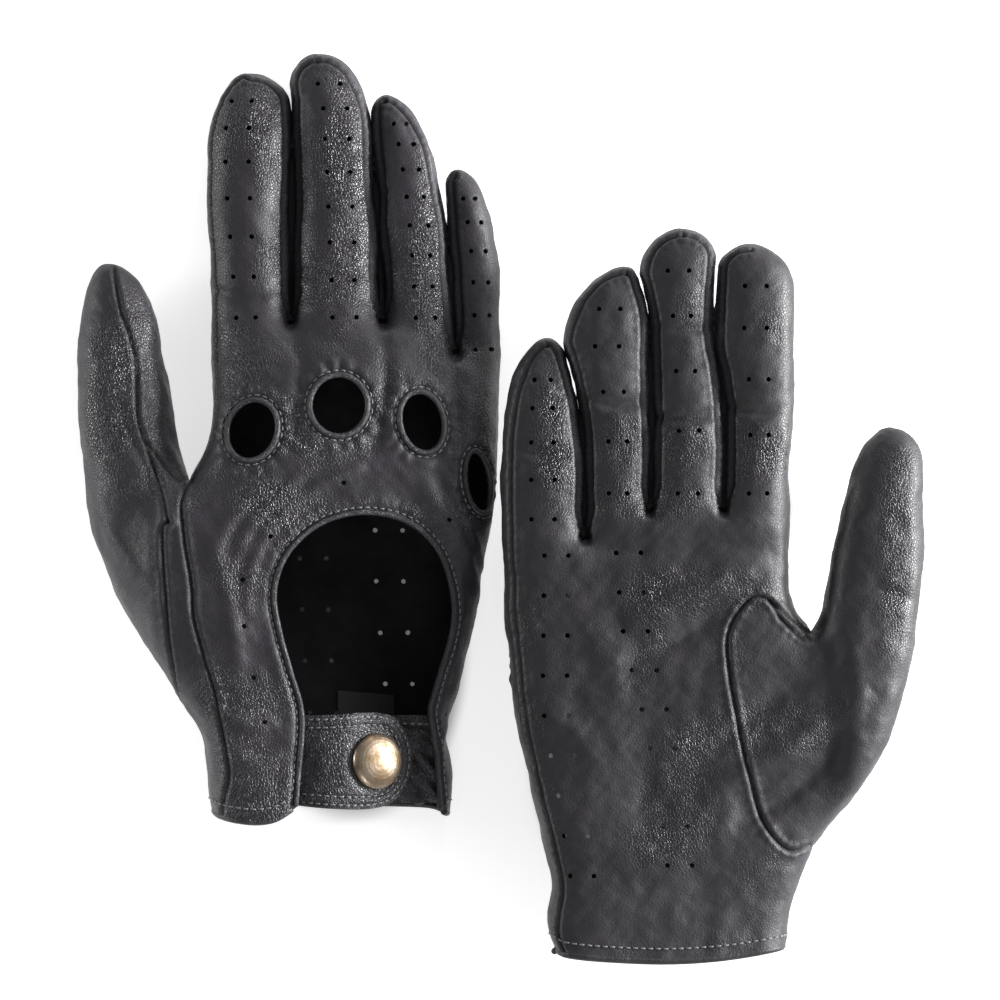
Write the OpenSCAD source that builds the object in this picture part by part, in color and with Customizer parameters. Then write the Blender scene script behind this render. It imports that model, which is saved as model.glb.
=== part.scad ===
// A pair of right-hand leather driving gloves. Glove 1 lies with its back up
// and glove 2 lies beside it with its palm up. Each glove is modelled with its
// back up, in millimetres, and glove 2 is then turned over about the Y axis.
// Index fingers and thumbs point to -X before that turn, fingertips to +Y.

/* [Leather] */
// Thickness of the glove leather
leather_t = 1.1; // [0.8:0.1:1.6]
// Distance from a finger's side to its seams
seam_inset = 2.4; // [1.8:0.1:3]
// Half of the gap between two fingers
finger_gap = 0.35; // [0.2:0.05:0.6]
// Width of the palm leather that wraps up on the thumb side
wrap_w = 5; // [4:0.5:7]
// Width of the back leather that wraps down on the little-finger side
side_inset = 3; // [2:0.5:5]
// Width of the bound edges
binding_w = 1.7; // [1.2:0.1:2.4]
// How far a bound edge stands proud of the leather
binding_proud = 0.3; // [0.1:0.1:0.6]

/* [Strap] */
// Thickness of the strap's upper leather
flap_t = 1.4; // [1:0.1:2]
// Thickness of the strap's lining leather
lining_t = 1.1; // [0.8:0.1:1.6]
// Width of the strap along the wrist
strap_w = 28.6; // [24:0.2:34]
// Radius of the strap's free corners
strap_r = 9; // [5:0.5:13]
// Tilt of the snap, in degrees
snap_tilt = 32; // [20:1:38]

/* [Snap] */
// Diameter of the snap's cap
cap_d = 17; // [14:0.5:18]
// Height of the cap's dome
cap_h = 3.6; // [2.5:0.1:4.5]
// Outer diameter of the socket
socket_d = 12.4; // [11:0.2:14]
// Diameter of the socket's mouth
socket_bore = 7.6; // [7:0.1:8.4]
// Diameter of the stud's knob
knob_d = 5; // [4.4:0.1:5.4]
// Diameter of the rolled tube that holds each half of the snap
tube_d = 3; // [2.4:0.1:3.6]

/* [Hidden] */

leather = [0.23, 0.22, 0.24];
metal = [0.62, 0.54, 0.44];
woven = [0.12, 0.12, 0.13];

// Heights: glove 1's palm is flattened at flat_z, where it rests; glove 2 is turned onto its back
flat_z = 1.8;
turned_height = 34.936;

// Outlines, one entry a glove, as lists of [y, x] from the wrist to the tips.
// Thumb side of the hand, along the thumb's seam where the thumb joins it
thumb_side = [
  [[-93, -87], [-68.6, -91.5], [-59.5, -96.4], [-41, -99.7], [-16, -101.6], [-6.7, -100.6],
   [7.3, -94.6], [19.8, -88.5], [36, -87.2], [68.6, -88.1], [93, -89.1], [140, -89.1]],
  [[-136, -87], [-123.5, -88.5], [-114, -91.2], [-103.7, -95.8], [-90, -97.5], [-70, -98.5],
   [-50, -98], [-39.3, -94.9], [-32, -90.3], [-22.9, -88], [16.8, -88.8], [41, -89.7],
   [90, -89.7]]];
little_side = [
  [[-93, -15.4], [-81, -14.2], [-68.6, -16.2], [-56.4, -12.5], [-41, -8.8], [-16.8, -4.6],
   [1.5, -1.5], [23, 0], [45, 0.2], [140, 0.2]],
  [[-136, -15.2], [-126.6, -14.9], [-115, -16.2], [-105, -14.3], [-90, -10.4], [-74.7, -7],
   [-53, -3.7], [-21, -1.2], [1.5, -0.6], [90, -0.6]]];
// Lines between two fingers, which run on down the hand as guides
gap_lines = [
  [[[-93, -70], [-40, -68], [10, -65], [56, -63.4], [120, -63.4], [129, -64.5]],
   [[-93, -48], [-40, -44], [10, -37.5], [56, -35.4], [81, -36.6], [125, -39.7]],
   [[-93, -29], [-40, -22], [10, -14], [46, -13.2], [81, -15.6], [100, -17.1]]],
  [[[-136, -68], [-60, -66], [-3.4, -68], [19.8, -68.6], [38, -67.4], [50, -65.3], [76, -66.2]],
   [[-136, -48], [-60, -45], [-0.6, -45.8], [20, -46.4], [42, -45.8], [57.6, -45.4], [70, -42.4]],
   [[-136, -29], [-80, -24], [-9.8, -25.9], [10.7, -25.9], [26, -24.7], [38, -22.3], [49, -19.2]]]];
// Fingertips: x and y of the apex, length of the rounding on either side
tips = [
  [[-76.9, 132.4, 28, 9], [-55.2, 137.6, 10, 20], [-34.8, 125.6, 6, 42], [-13.1, 102.8, 6, 37]],
  [[-76.6, 79.3, 16, 8], [-55.5, 83.9, 9, 15], [-38.7, 72.3, 5, 26], [-14.6, 50.9, 5, 40]]];
// Rows across the hand, up to where the fingers part
hand_rows = [
  [-93, -82, -71, -59.5, -48, -36, -24, -12, -2, 7.3, 17, 27, 37, 46, 51, 55.5],
  [-136, -125, -114.5, -103.7, -91, -79, -66, -52, -39.3, -30, -22, -15, -9.8, -5, -2]];
// Row where the ring and little fingers part; the other fingers part at the last row
little_row = [13, 12];
// First and last row of the hand that the thumb joins
thumb_rows = [[3, 9], [3, 8]];
finger_steps = [0.1, 0.24, 0.38, 0.52, 0.66, 0.78, 0.88, 0.96, 1];
lane_cells = 4;
wall_cells = 4;
// Angle on a side wall's round profile of the edge next to its seam
hand_shoulder = 45;
finger_shoulder = 56;
// How far the bottom of a crotch bulges out from its seams
crotch_bulge = 0.7;
// Length over which the seams of two fingers part above their crotch
crotch_l = 9;

// Thumb: outer side, inner side above the crotch, tip
thumb_outer = [
  [[-59.5, -96.6], [-47, -105.2], [-29, -116.2], [-7.6, -124.1], [13.7, -127.2], [32, -128.7],
   [80, -128.7]],
  [[-103.7, -96], [-99, -100], [-90, -106.8], [-76.3, -116.2], [-62.5, -121.7], [-50, -125],
   [-38, -126.8], [-16.8, -128.7], [30, -128.7]]];
thumb_inner = [
  [[7.3, -94.6], [17, -97.6], [35, -100.3], [48.5, -103.1], [75, -105.5]],
  [[-39.3, -94.9], [-35, -97], [-25.9, -99.1], [-16.8, -100.7], [-7.6, -102.5], [7.6, -106.5],
   [25, -110]]];
thumb_tips = [[-119.6, 73.8, 30, 21], [-119.3, 23.5, 12, 14]];
thumb_steps = [0.12, 0.28, 0.44, 0.6, 0.74, 0.86, 0.95, 1];
thumb_cells = 12;
// Half height and middle of the thumb's sections
thumb_half_h = 10.4;
thumb_mid_z = 13.5;
// Angle at which a section's ends turn in to the hand, and the height of narrow sections
thumb_open = 55;
thumb_ratio = 0.85;

// Heights over the palm's lowest point, as [y, z] measured from the wrist edge
arch_rim = [[0, 12], [40, 13], [110, 13.5], [150, 12.5]];
arch_rise = [[[0, 18.6], [40, 18], [90, 19], [118, 19], [150, 10]],
             [[0, 16], [40, 17], [80, 19.5], [112, 20.5], [135, 12]]];
arch_tilt = [[0, 5], [60, 3], [120, 1.5], [150, 1]];
palm_rim = [[0, 7.5], [60, 8], [120, 7], [150, 6]];
palm_belly = [[0, 6], [60, 6.5], [120, 5.5], [150, 4.5]];
skew = 0.3;
// Fingers: height of the seams, rise of the crown, and how much each falls to the little finger
finger_rim = [14, 1.4];
finger_rise = [6.6, 1.1];
finger_floor = 5.5;
finger_belly = 4.3;
// Length of the rounding of the fingertips' heights
tip_l = 15;
// Where the hand's heights start to turn into the fingers', below the crotch, and over what length
web_start = 26;
web_run = 28;

// Keyhole opening in the back: round top, sides that draw in to the strap
keyhole_c = [-40.7, -26];
keyhole_r = [26.4, 23];
keyhole_left = [[-66.4, -34], [-64, -44], [-61, -55], [-58.9, -62.7], [-59.5, -78], [-60.2, -93]];
keyhole_right = [[-18.2, -93], [-19.2, -78], [-21.8, -64], [-19.8, -56], [-17, -46], [-15, -36]];
// Knuckle holes: centre, half sizes and lean in degrees, for each finger
knuckle_holes = [[-74.6, 22.7, 6.7, 8.6, -18], [-48.5, 30.2, 8, 8.5, 0],
                 [-23.3, 25.1, 5.8, 8.6, 13], [-6.1, 7, 3.1, 8.8, 8]];
// Height from which the keyhole and the knuckle holes are cut upwards
cut_z = 8.4;
cut_h = 60;
// Shift of the keyhole and the strap along the glove, and of the knuckle holes across and along it
opening_shift = [0, -43];
knuckle_shift = [[0, 0], [-2.4, -56]];

// Strap: root at the left of the slot, free end at the right
strap_root_x = -58.4;
strap_end_x = -25.7;
strap_y = -77.7;
strap_z = [36, 34.1];
snap_x = -37.2;
snap_slope = tan(snap_tilt);
// Where the strap stops bending: it is straight under the snap
bend_x = -42.8;
// Space between the strap and the tab under its free end, and the tab's ends and thickness
tab_gap = 4.2;
tab_x = [-42.6, -17.6];
tab_t = 1.8;
// Outline of the woven label: middle and size
label_c = [-40.8, -64];
label_size = [17.1, 14, 0.5];

// ---- smooth curves ---------------------------------------------------------
tiny = 0.0001;
function clamp(v, lo, hi) = max(lo, min(hi, v));
function ease(t) = let (c = clamp(t, 0, 1)) c * c * (3 - 2 * c);
function piece_at(p, y, i = 0) = i >= len(p) - 2 || y <= p[i + 1][0] ? i : piece_at(p, y, i + 1);
function slope_at(p, i) =
  let (a = max(i - 1, 0), b = min(i + 1, len(p) - 1)) (p[b][1] - p[a][1]) / (p[b][0] - p[a][0]);
// Smooth curve through [y, x] points, held level past its ends
function curve(p, y) =
  let (i = piece_at(p, y), h = p[i + 1][0] - p[i][0], t = clamp((y - p[i][0]) / h, 0, 1),
       m0 = slope_at(p, i) * h, m1 = slope_at(p, i + 1) * h)
  (2 * t ^ 3 - 3 * t ^ 2 + 1) * p[i][1] + (t ^ 3 - 2 * t ^ 2 + t) * m0
  + (3 * t ^ 2 - 2 * t ^ 3) * p[i + 1][1] + (t ^ 3 - t ^ 2) * m1;

// ---- finger and hand outlines ----------------------------------------------
function finger_rows(g, f) =
  let (rows = hand_rows[g], last = rows[len(rows) - 1], top = tips[g][f][1] - seam_inset)
  concat(rows, [for (s = finger_steps) last + s * (top - last)]);
function part_row(g, gap) = gap == 2 ? little_row[g] : len(hand_rows[g]) - 1;
function part_y(g, gap) = hand_rows[g][part_row(g, gap)];
function gap_inset(g, gap, y) = seam_inset * ease((y - part_y(g, gap)) / crotch_l);
function side_line(g, f, side, y) =
  side == 0 ? (f == 0 ? curve(thumb_side[g], y) : curve(gap_lines[g][f - 1], y))
            : (f == 3 ? curve(little_side[g], y) : curve(gap_lines[g][f], y));
function side_inset_at(g, f, side, y) =
  side == 0 && f == 0 ? wrap_w + (seam_inset - wrap_w) * ease((y - part_y(g, 2) + 30) / 40)
  : side == 1 && f == 3 ? side_inset
  : gap_inset(g, side == 0 ? f - 1 : f, y);
function tip_round(g, f, side, y) =
  let (tip = tips[g][f], b = tip[2 + side], t = clamp((y - tip[1] + b) / (b - seam_inset), 0, 1))
  sqrt(1 - t * t);
// Where the seam of finger f runs at height y, on its left (0) or right (1) side
function rim_x(g, f, side, y) =
  let (in = side_inset_at(g, f, side, y) * (side == 0 ? 1 : -1), apex = tips[g][f][0])
  apex + (side_line(g, f, side, y) + in - apex) * tip_round(g, f, side, y);

// ---- heights ---------------------------------------------------------------
function from_wrist(g, y) = y - hand_rows[g][0];
function across(g, x, y) =
  let (l = curve(thumb_side[g], y), r = curve(little_side[g], y)) clamp(2 * (x - l) / (r - l) - 1, -1, 1);
function web_y(g, x) =
  let (last = part_y(g, 0), low = part_y(g, 2), x2 = curve(gap_lines[g][2], low))
  low + (last - low) * clamp((x2 - x) / 12 + 0.2, 0, 1);
function finger_part(g, x, y) = ease((y - web_y(g, x) + web_start) / web_run);
function tip_fall(g, f, y) =
  let (t = clamp((y - tips[g][f][1] + seam_inset + tip_l) / tip_l, 0, 1)) sqrt(1 - t * t);
function crown(u, p, q) = (1 - min(1, abs(u)) ^ p) ^ q;
function back_z(g, f, x, y, u) =
  let (s = across(g, x, y), d = from_wrist(g, y), w = finger_part(g, x, y),
       hand = curve(arch_rim, d) - curve(arch_tilt, d) * s
              + curve(arch_rise[g], d) * crown(s, 2.2, 0.7) * (1 - skew * s * ease((90 - d) / 70)),
       finger = finger_rim[0] - finger_rim[1] * s
                + (finger_rise[0] - finger_rise[1] * s) * crown(u, 2.4, 0.6) * tip_fall(g, f, y))
  hand + (finger - hand) * w;
function palm_z(g, f, x, y, u) =
  let (s = across(g, x, y), d = from_wrist(g, y), w = finger_part(g, x, y),
       hand = curve(palm_rim, d) - 0.4 * curve(arch_tilt, d) * s
              - curve(palm_belly, d) * crown(s, 2.6, 0.6),
       finger = finger_floor - finger_belly * crown(u, 2.4, 0.6) * tip_fall(g, f, y))
  max(g == 0 ? flat_z : 0, hand + (finger - hand) * w);

// ---- sheets of leather -----------------------------------------------------
// A sheet is [outer, inner]: two equal grids of points, rows by columns.
function lane_row(g, f, y) =
  let (l = rim_x(g, f, 0, y), r = rim_x(g, f, 1, y))
  [for (k = [0:lane_cells]) [l + (r - l) * k / lane_cells, 2 * k / lane_cells - 1]];
function back_lane(g, f) =
  let (outer = [for (y = finger_rows(g, f))
         [for (c = lane_row(g, f, y)) [c[0], y, back_z(g, f, c[0], y, c[1])]]])
  [outer, [for (row = outer) [for (p = row) p - [0, 0, leather_t]]]];
function palm_lane(g, f) =
  let (outer = [for (y = finger_rows(g, f))
         [for (c = lane_row(g, f, y)) [c[0], y, palm_z(g, f, c[0], y, c[1])]]])
  [outer, [for (row = outer) [for (p = row) p + [0, 0, leather_t]]]];

// Side walls: a path of [x, y, top z, bottom z, bulge] along a seam, and its normals
function wall_point(g, f, side, y) =
  let (x = rim_x(g, f, side, y), u = side == 0 ? -1 : 1)
  [x, y, back_z(g, f, x, y, u), palm_z(g, f, x, y, u),
   side == 0 && f == 0 || side == 1 && f == 3 ? side_inset_at(g, f, side, y)
   : max(crotch_bulge, side_inset_at(g, f, side, y) - finger_gap * tip_round(g, f, side, y))];
function unit(v) = v / max(norm(v), tiny);
function left_of(v) = [-v[1], v[0]];
function flat(p) = [p[0], p[1]];
function wall_sheet(path, normals, shoulder) =
  let (profile = [90, shoulder, 0, -shoulder, -90],
       outer = [for (i = [0:len(path) - 1]) let (p = path[i], n = normals[i]) [for (a = profile)
         [p[0] + n[0] * p[4] * cos(a), p[1] + n[1] * p[4] * cos(a),
          (p[2] + p[3]) / 2 + (p[2] - p[3]) / 2 * sin(a)]]],
       inner = [for (i = [0:len(path) - 1]) let (n = normals[i]) [for (k = [0:wall_cells])
         outer[i][k] - leather_t * [n[0] * cos(profile[k]), n[1] * cos(profile[k]), sin(profile[k])]]])
  [outer, inner];
function path_normals(path, first, last) =
  [for (i = [0:len(path) - 1])
    i == 0 ? first : i == len(path) - 1 ? last
    : unit(left_of(flat(path[i + 1]) - flat(path[i - 1])))];
function thumb_side_wall(g) =
  let (path = [for (y = finger_rows(g, 0)) wall_point(g, 0, 0, y)])
  wall_sheet(path, path_normals(path, [-1, 0], [0, 1]), hand_shoulder);
function little_side_wall(g) =
  let (rows = finger_rows(g, 3), n = len(rows),
       path = [for (i = [0:n - 1]) wall_point(g, 3, 1, rows[n - 1 - i])])
  wall_sheet(path, path_normals(path, [0, 1], [1, 0]), hand_shoulder);
// From the tip of finger f down to the crotch and up to the tip of the next
function fourchette_sheet(g, f) =
  let (a = finger_rows(g, f), b = finger_rows(g, f + 1), n = len(a),
       low = part_row(g, f),
       path = concat([for (i = [0:n - 1 - low]) wall_point(g, f, 1, a[n - 1 - i])],
                     [for (i = [low + 1:n - 1]) wall_point(g, f + 1, 0, b[i])]),
       raw = path_normals(path, [0, 1], [0, 1]))
  wall_sheet(path, [for (i = [0:len(raw) - 1]) i == n - 1 - low ? [0, 1] : raw[i]], finger_shoulder);

function same(a, b) = norm(a - b) < tiny;
function triangle(a, b, c, pts) =
  same(pts[a], pts[b]) || same(pts[b], pts[c]) || same(pts[a], pts[c]) ? [] : [[a, c, b]];
function quad(a, b, c, d, pts) = concat(triangle(a, b, c, pts), triangle(a, c, d, pts));
// Closed solid of one or more sheets. kept(k, i, j) says which cells sheet k has, and
// joined(k, i, side) where its left (0) or right (1) edge runs on into another sheet.
// A looped sheet's last row lies on its first.
module sheet_solid(sheets, kept, joined, looped = false) {
  rows = [for (s = sheets) len(s[0])];
  cols = [for (s = sheets) len(s[0][0])];
  start = [for (k = 0, at = 0; k < len(sheets); at = at + 2 * rows[k] * cols[k], k = k + 1) at];
  pts = [for (s = sheets) each concat([for (r = s[0]) each r], [for (r = s[1]) each r])];
  faces = [for (k = [0:len(sheets) - 1])
    let (n = rows[k], m = cols[k], at = start[k], in = n * m)
    for (i = [0:n - 2]) for (j = [0:m - 2]) if (kept(k, i, j))
      let (a = at + i * m + j, b = a + 1, c = a + m + 1, d = a + m,
           low = i == 0 ? !looped : !kept(k, i - 1, j),
           high = i == n - 2 ? !looped : !kept(k, i + 1, j),
           left = j == 0 ? !joined(k, i, 0) : !kept(k, i, j - 1),
           right = j == m - 2 ? !joined(k, i, 1) : !kept(k, i, j + 1))
      each concat(
        quad(a, b, c, d, pts),
        quad(c + in, b + in, a + in, d + in, pts),
        low ? quad(b, a, a + in, b + in, pts) : [],
        high ? quad(d, c, c + in, d + in, pts) : [],
        left ? quad(a, d, d + in, a + in, pts) : [],
        right ? quad(c, b, b + in, c + in, pts) : [])];
  polyhedron(pts, faces);
}
all_cells = function (k, i, j) true;
no_joins = function (k, i, side) false;

// ---- openings ----------------------------------------------------------------
function turn(p, a) = [p[0] * cos(a) - p[1] * sin(a), p[0] * sin(a) + p[1] * cos(a)];
function hole_outline(g, h, grow) =
  let (k = knuckle_holes[h])
  [for (a = [0:15:345])
    [k[0], k[1]] + knuckle_shift[g] + turn([(k[2] + grow) * cos(a), (k[3] + grow) * sin(a)], k[4])];
// From the wrist up the right side, over the round top and down the left side
function keyhole_edge(g, grow) =
  let (right = [for (p = keyhole_right) p + [grow, 0]],
       top = [for (a = [0:12:180])
         keyhole_c + [(keyhole_r[0] + grow) * cos(a), (keyhole_r[1] + grow) * sin(a)]],
       left = [for (p = keyhole_left) p - [grow, 0]])
  [for (p = concat(right, top, left)) p + [0, opening_shift[g]]];
module keyhole_cut(g) {
  edge = keyhole_edge(g, binding_w);
  past_wrist = [0, -6];
  translate([0, 0, cut_z])
    linear_extrude(cut_h)
      polygon(concat([edge[0] + past_wrist], edge, [edge[len(edge) - 1] + past_wrist]));
}
module knuckle_cuts(g) {
  for (h = [0:3])
    translate([0, 0, cut_z])
      linear_extrude(cut_h)
        polygon(hole_outline(g, h, binding_w));
}
// Height of the back at a point, found from the finger lane that it lies in
function lane_of(g, x, y) =
  x < curve(gap_lines[g][0], y) ? 0
  : x < curve(gap_lines[g][1], y) ? 1
  : x < curve(gap_lines[g][2], y) ? 2 : 3;
function back_at(g, p) =
  let (f = lane_of(g, p[0], p[1]), l = rim_x(g, f, 0, p[1]), r = rim_x(g, f, 1, p[1]))
  back_z(g, f, p[0], p[1], clamp(2 * (p[0] - l) / (r - l) - 1, -1, 1));
// Past the little finger's seam the height falls off with the side wall
function edge_z(g, p) =
  let (r = curve(little_side[g], p[1]) - side_inset, over = max(0, p[0] - r), fall = 0.5)
  back_at(g, [min(p[0], r), p[1]]) - over * fall;
// A bound edge fills the space between the cut in the back and the opening
function binding_sheet(g, outer, inner) =
  let (n = len(outer))
  [[for (i = [0:n - 1]) [[inner[i][0], inner[i][1], edge_z(g, inner[i]) + binding_proud],
                         [outer[i][0], outer[i][1], edge_z(g, outer[i]) + binding_proud]]],
   [for (i = [0:n - 1]) [[inner[i][0], inner[i][1], edge_z(g, inner[i]) - leather_t - binding_proud],
                         [outer[i][0], outer[i][1], edge_z(g, outer[i]) - leather_t - binding_proud]]]];

// ---- leather pieces ------------------------------------------------------------
function flip_rows(s) = [for (grid = s) [for (i = [len(grid) - 1:-1:0]) grid[i]]];
function flip_cols(s) = [for (grid = s) [for (r = grid) [for (j = [len(r) - 1:-1:0]) r[j]]]];
// Whether the row i of the line between fingers f and f + 1 is below their crotch
function below_crotch(g, f, i) = i < part_row(g, f);
function in_thumb(g, i) = i >= thumb_rows[g][0] && i < thumb_rows[g][1];

// The back's leather wraps down round the little-finger side
module back_panel(g) {
  sheets = concat([for (f = [0:3]) back_lane(g, f)], [flip_rows(little_side_wall(g))]);
  color(leather)
    difference() {
      sheet_solid(sheets, all_cells,
                  function (k, i, side) k == 4 ? side == 0 : side == 0 ? k > 0 && below_crotch(g, k - 1, i)
                                        : k == 3 || below_crotch(g, k, i));
      keyhole_cut(g);
      knuckle_cuts(g);
    }
}

// The palm's leather wraps up round the thumb side, where the thumb's hole is cut
module palm_panel(g) {
  sheets = concat([for (f = [0:3]) flip_cols(palm_lane(g, f))], [flip_cols(thumb_side_wall(g))]);
  color(leather)
    sheet_solid(sheets,
                function (k, i, j) k < 4 || !in_thumb(g, i) || j == wall_cells - 1,
                function (k, i, side) k == 4 ? side == 0
                                      : side == 0 ? k < 3 && below_crotch(g, k, i)
                                      : k == 0 ? !in_thumb(g, i) : below_crotch(g, k - 1, i));
}

// A strip that closes the sides of two neighbouring fingers
module fourchette(g, f) {
  color(leather)
    sheet_solid([flip_cols(fourchette_sheet(g, f))], all_cells, no_joins);
}

// Rows of the thumb: across the hand's side first, then closed rings up to the tip
function thumb_ring(g, y) =
  let (tip = thumb_tips[g],
       tl = clamp((y - tip[1] + tip[2]) / tip[2], 0, 1), tr = clamp((y - tip[1] + tip[3]) / tip[3], 0, 1),
       l = tip[0] + (curve(thumb_outer[g], y) - tip[0]) * sqrt(1 - tl * tl),
       r = tip[0] + (curve(thumb_inner[g], y) - tip[0]) * sqrt(1 - tr * tr),
       w = (r - l) / 2)
  [(l + r) / 2, w, min(thumb_half_h, thumb_ratio * w)];
function ring_point(c, y, a, grow) =
  [c[0] + max(0, c[1] + grow) * cos(a), y, thumb_mid_z + max(0, c[2] + grow) * sin(a)];
function thumb_ring_row(g, y, grow) =
  let (c = thumb_ring(g, y))
  [for (k = [0:thumb_cells]) ring_point(c, y, 360 * k / thumb_cells, grow)];
// Point at the fraction t along the wall's profile, from its wrap seam to its lower seam
function profile_point(row, t) =
  let (v = 1 + t * (wall_cells - 1), k = min(wall_cells - 1, floor(v)))
  row[k] + (row[k + 1] - row[k]) * (v - k);
function thumb_root_row(g, i, wall, layer) =
  let (y = hand_rows[g][i], first = thumb_rows[g][0], last = thumb_rows[g][1],
       row = wall[layer][i], t = ease((i - first) / (last - first)),
       p1 = row[1], p2 = row[wall_cells], l = curve(thumb_outer[g], y),
       cx = (l + p1[0]) / 2, w = (p1[0] - l) / 2 - layer * leather_t,
       cz = (p1[2] + p2[2]) / 2 + (thumb_mid_z - (p1[2] + p2[2]) / 2) * t,
       root_h = (p1[2] - p2[2]) / 2 + 1, h = root_h + (thumb_half_h - root_h) * t - layer * leather_t)
  i == first ? [for (k = [0:thumb_cells]) profile_point(row, k / thumb_cells)]
  : [for (k = [0:thumb_cells])
      let (v = k / thumb_cells, a = thumb_open + (360 - 2 * thumb_open) * v,
           e = [cx + w * cos(a), y, cz + h * sin(a)],
           e1 = [cx + w * cos(thumb_open), y, cz + h * sin(thumb_open)],
           e2 = [cx + w * cos(thumb_open), y, cz - h * sin(thumb_open)])
      e + (p1 - e1) * (1 - v) ^ 3 + (p2 - e2) * v ^ 3];
function thumb_ring_ys(g) =
  let (low = hand_rows[g][thumb_rows[g][1]], top = thumb_tips[g][1])
  [for (s = thumb_steps) low + (top - low) * s];
function thumb_layer(g, wall, layer) =
  let (in = layer * leather_t)
  concat([for (i = [thumb_rows[g][0]:thumb_rows[g][1]]) thumb_root_row(g, i, wall, layer)],
         [for (y = thumb_ring_ys(g)) thumb_ring_row(g, y - (y == thumb_tips[g][1] ? in : 0), -in)]);
module thumb(g) {
  wall = thumb_side_wall(g);
  n = thumb_rows[g][1] - thumb_rows[g][0];
  color(leather)
    sheet_solid([flip_cols([thumb_layer(g, wall, 0), thumb_layer(g, wall, 1)])],
                all_cells, function (k, i, side) i > n);
}
// The gusset at the thumb's crotch, from the hand's side out to the thumb. It is drawn in a little
// from the seams round it, to clear the leather that turns in there.
module thumb_quirk(g) {
  wall = thumb_side_wall(g);
  i = thumb_rows[g][1];
  root = [for (k = [1:wall_cells - 1]) wall[0][i][k]];
  apex = thumb_ring_row(g, thumb_ring_ys(g)[0], 0)[0];
  middle = ([1, 1, 1] * root + apex) / 4;
  drawn_in = 0.8;
  inward = -leather_t * [cos(30), sin(30), 0];
  outer = [for (row = [root, [for (p = root) apex]])
    [for (p = row) middle + (p - middle) * drawn_in]];
  inner = [for (row = outer) [for (p = row) p + inward]];
  color(leather)
    sheet_solid([[outer, inner]], all_cells, no_joins);
}
module facing(g, h) {
  outer = hole_outline(g, h, binding_w);
  inner = hole_outline(g, h, 0);
  color(leather)
    sheet_solid([binding_sheet(g, concat(outer, [outer[0]]), concat(inner, [inner[0]]))],
                all_cells, no_joins, looped = true);
}
module keyhole_binding(g) {
  color(leather)
    sheet_solid([binding_sheet(g, keyhole_edge(g, binding_w), keyhole_edge(g, 0))],
                all_cells, no_joins);
}
// The bound wrist edge runs from the keyhole's thumb side round the palm to its far side
module wrist_binding(g) {
  slot_left = keyhole_left[len(keyhole_left) - 1][0] - binding_w;
  layers = [for (layer = [0, 1])
    let (back = [for (f = [1, 0]) for (j = [lane_cells:-1:0]) back_lane(g, f)[layer][0][j]],
         wrap = [for (k = [1:wall_cells]) thumb_side_wall(g)[layer][0][k]],
         palm = [for (f = [0:3]) for (j = [1:lane_cells]) palm_lane(g, f)[layer][0][j]],
         side = [for (k = [wall_cells - 1:-1:2]) flip_rows(little_side_wall(g))[layer][0][k]])
    concat([for (p = back) if (p[0] < slot_left) p], wrap, palm, side)];
  rows = [for (layer = layers) [for (p = layer) [p - [0, binding_w, 0], p]]];
  color(leather)
    sheet_solid([flip_cols(rows)], all_cells, no_joins);
}

// ---- strap and snap ------------------------------------------------------------
strap_run = bend_x - strap_root_x;
strap_t = flap_t + lining_t;
socket_h = 3.1;
stud_flange_t = 0.7;
knob_h = 2.3;
function strap_fall(x) =
  snap_slope * (x < bend_x ? (x - strap_root_x) ^ 2 / (2 * strap_run) : strap_run / 2 + x - bend_x);
function strap_angle(x) = atan(snap_slope * clamp((x - strap_root_x) / strap_run, 0, 1));
// Point of a layer that lies depth below the strap's upper face
function strap_point(g, x, depth) =
  [x - depth * sin(strap_angle(x)), strap_z[g] - strap_fall(x) - depth * cos(strap_angle(x))];
module strap_layer(g, top, t) {
  steps = 8;
  xs = concat([for (i = [0:steps]) strap_root_x + strap_run * i / steps], [strap_end_x]);
  intersection() {
    translate([0, strap_y + opening_shift[g], 0])
      rotate([90, 0, 0])
        linear_extrude(strap_w, center = true)
          polygon(concat([for (x = xs) strap_point(g, x, top)],
                         [for (i = [steps + 1:-1:0]) strap_point(g, xs[i], top + t)]));
    translate([0, strap_y + opening_shift[g], 0])
      linear_extrude(60)
        rounded_end(strap_root_x - 20, strap_point(g, strap_end_x, top)[0], strap_w, strap_r);
  }
}
// Outline with a square left end and rounded right corners
module rounded_end(x0, x1, w, r) {
  translate([x0, -w / 2])
    square([x1 - r - x0, w]);
  translate([x1 - r - 0.01, r - w / 2])
    square([r + 0.01, w - 2 * r]);
  for (side = [-1, 1])
    translate([x1 - r, side * (w / 2 - r)])
      circle(r, $fn = 64);
}
// Places its children on the snap's axis, with z = 0 on the strap's upper face
module on_snap(g) {
  p = strap_point(g, snap_x, 0);
  translate([p[0], strap_y + opening_shift[g], p[1]])
    rotate([0, snap_tilt, 0])
      children();
}
module snap_hole(g) {
  on_snap(g)
    translate([0, 0, -20])
      cylinder(h = 30, d = tube_d, $fn = 48);
}
module strap_flap(g) {
  color(leather)
    difference() {
      strap_layer(g, 0, flap_t);
      snap_hole(g);
    }
}
module strap_lining(g) {
  color(leather)
    difference() {
      strap_layer(g, flap_t, lining_t);
      snap_hole(g);
    }
}
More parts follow.
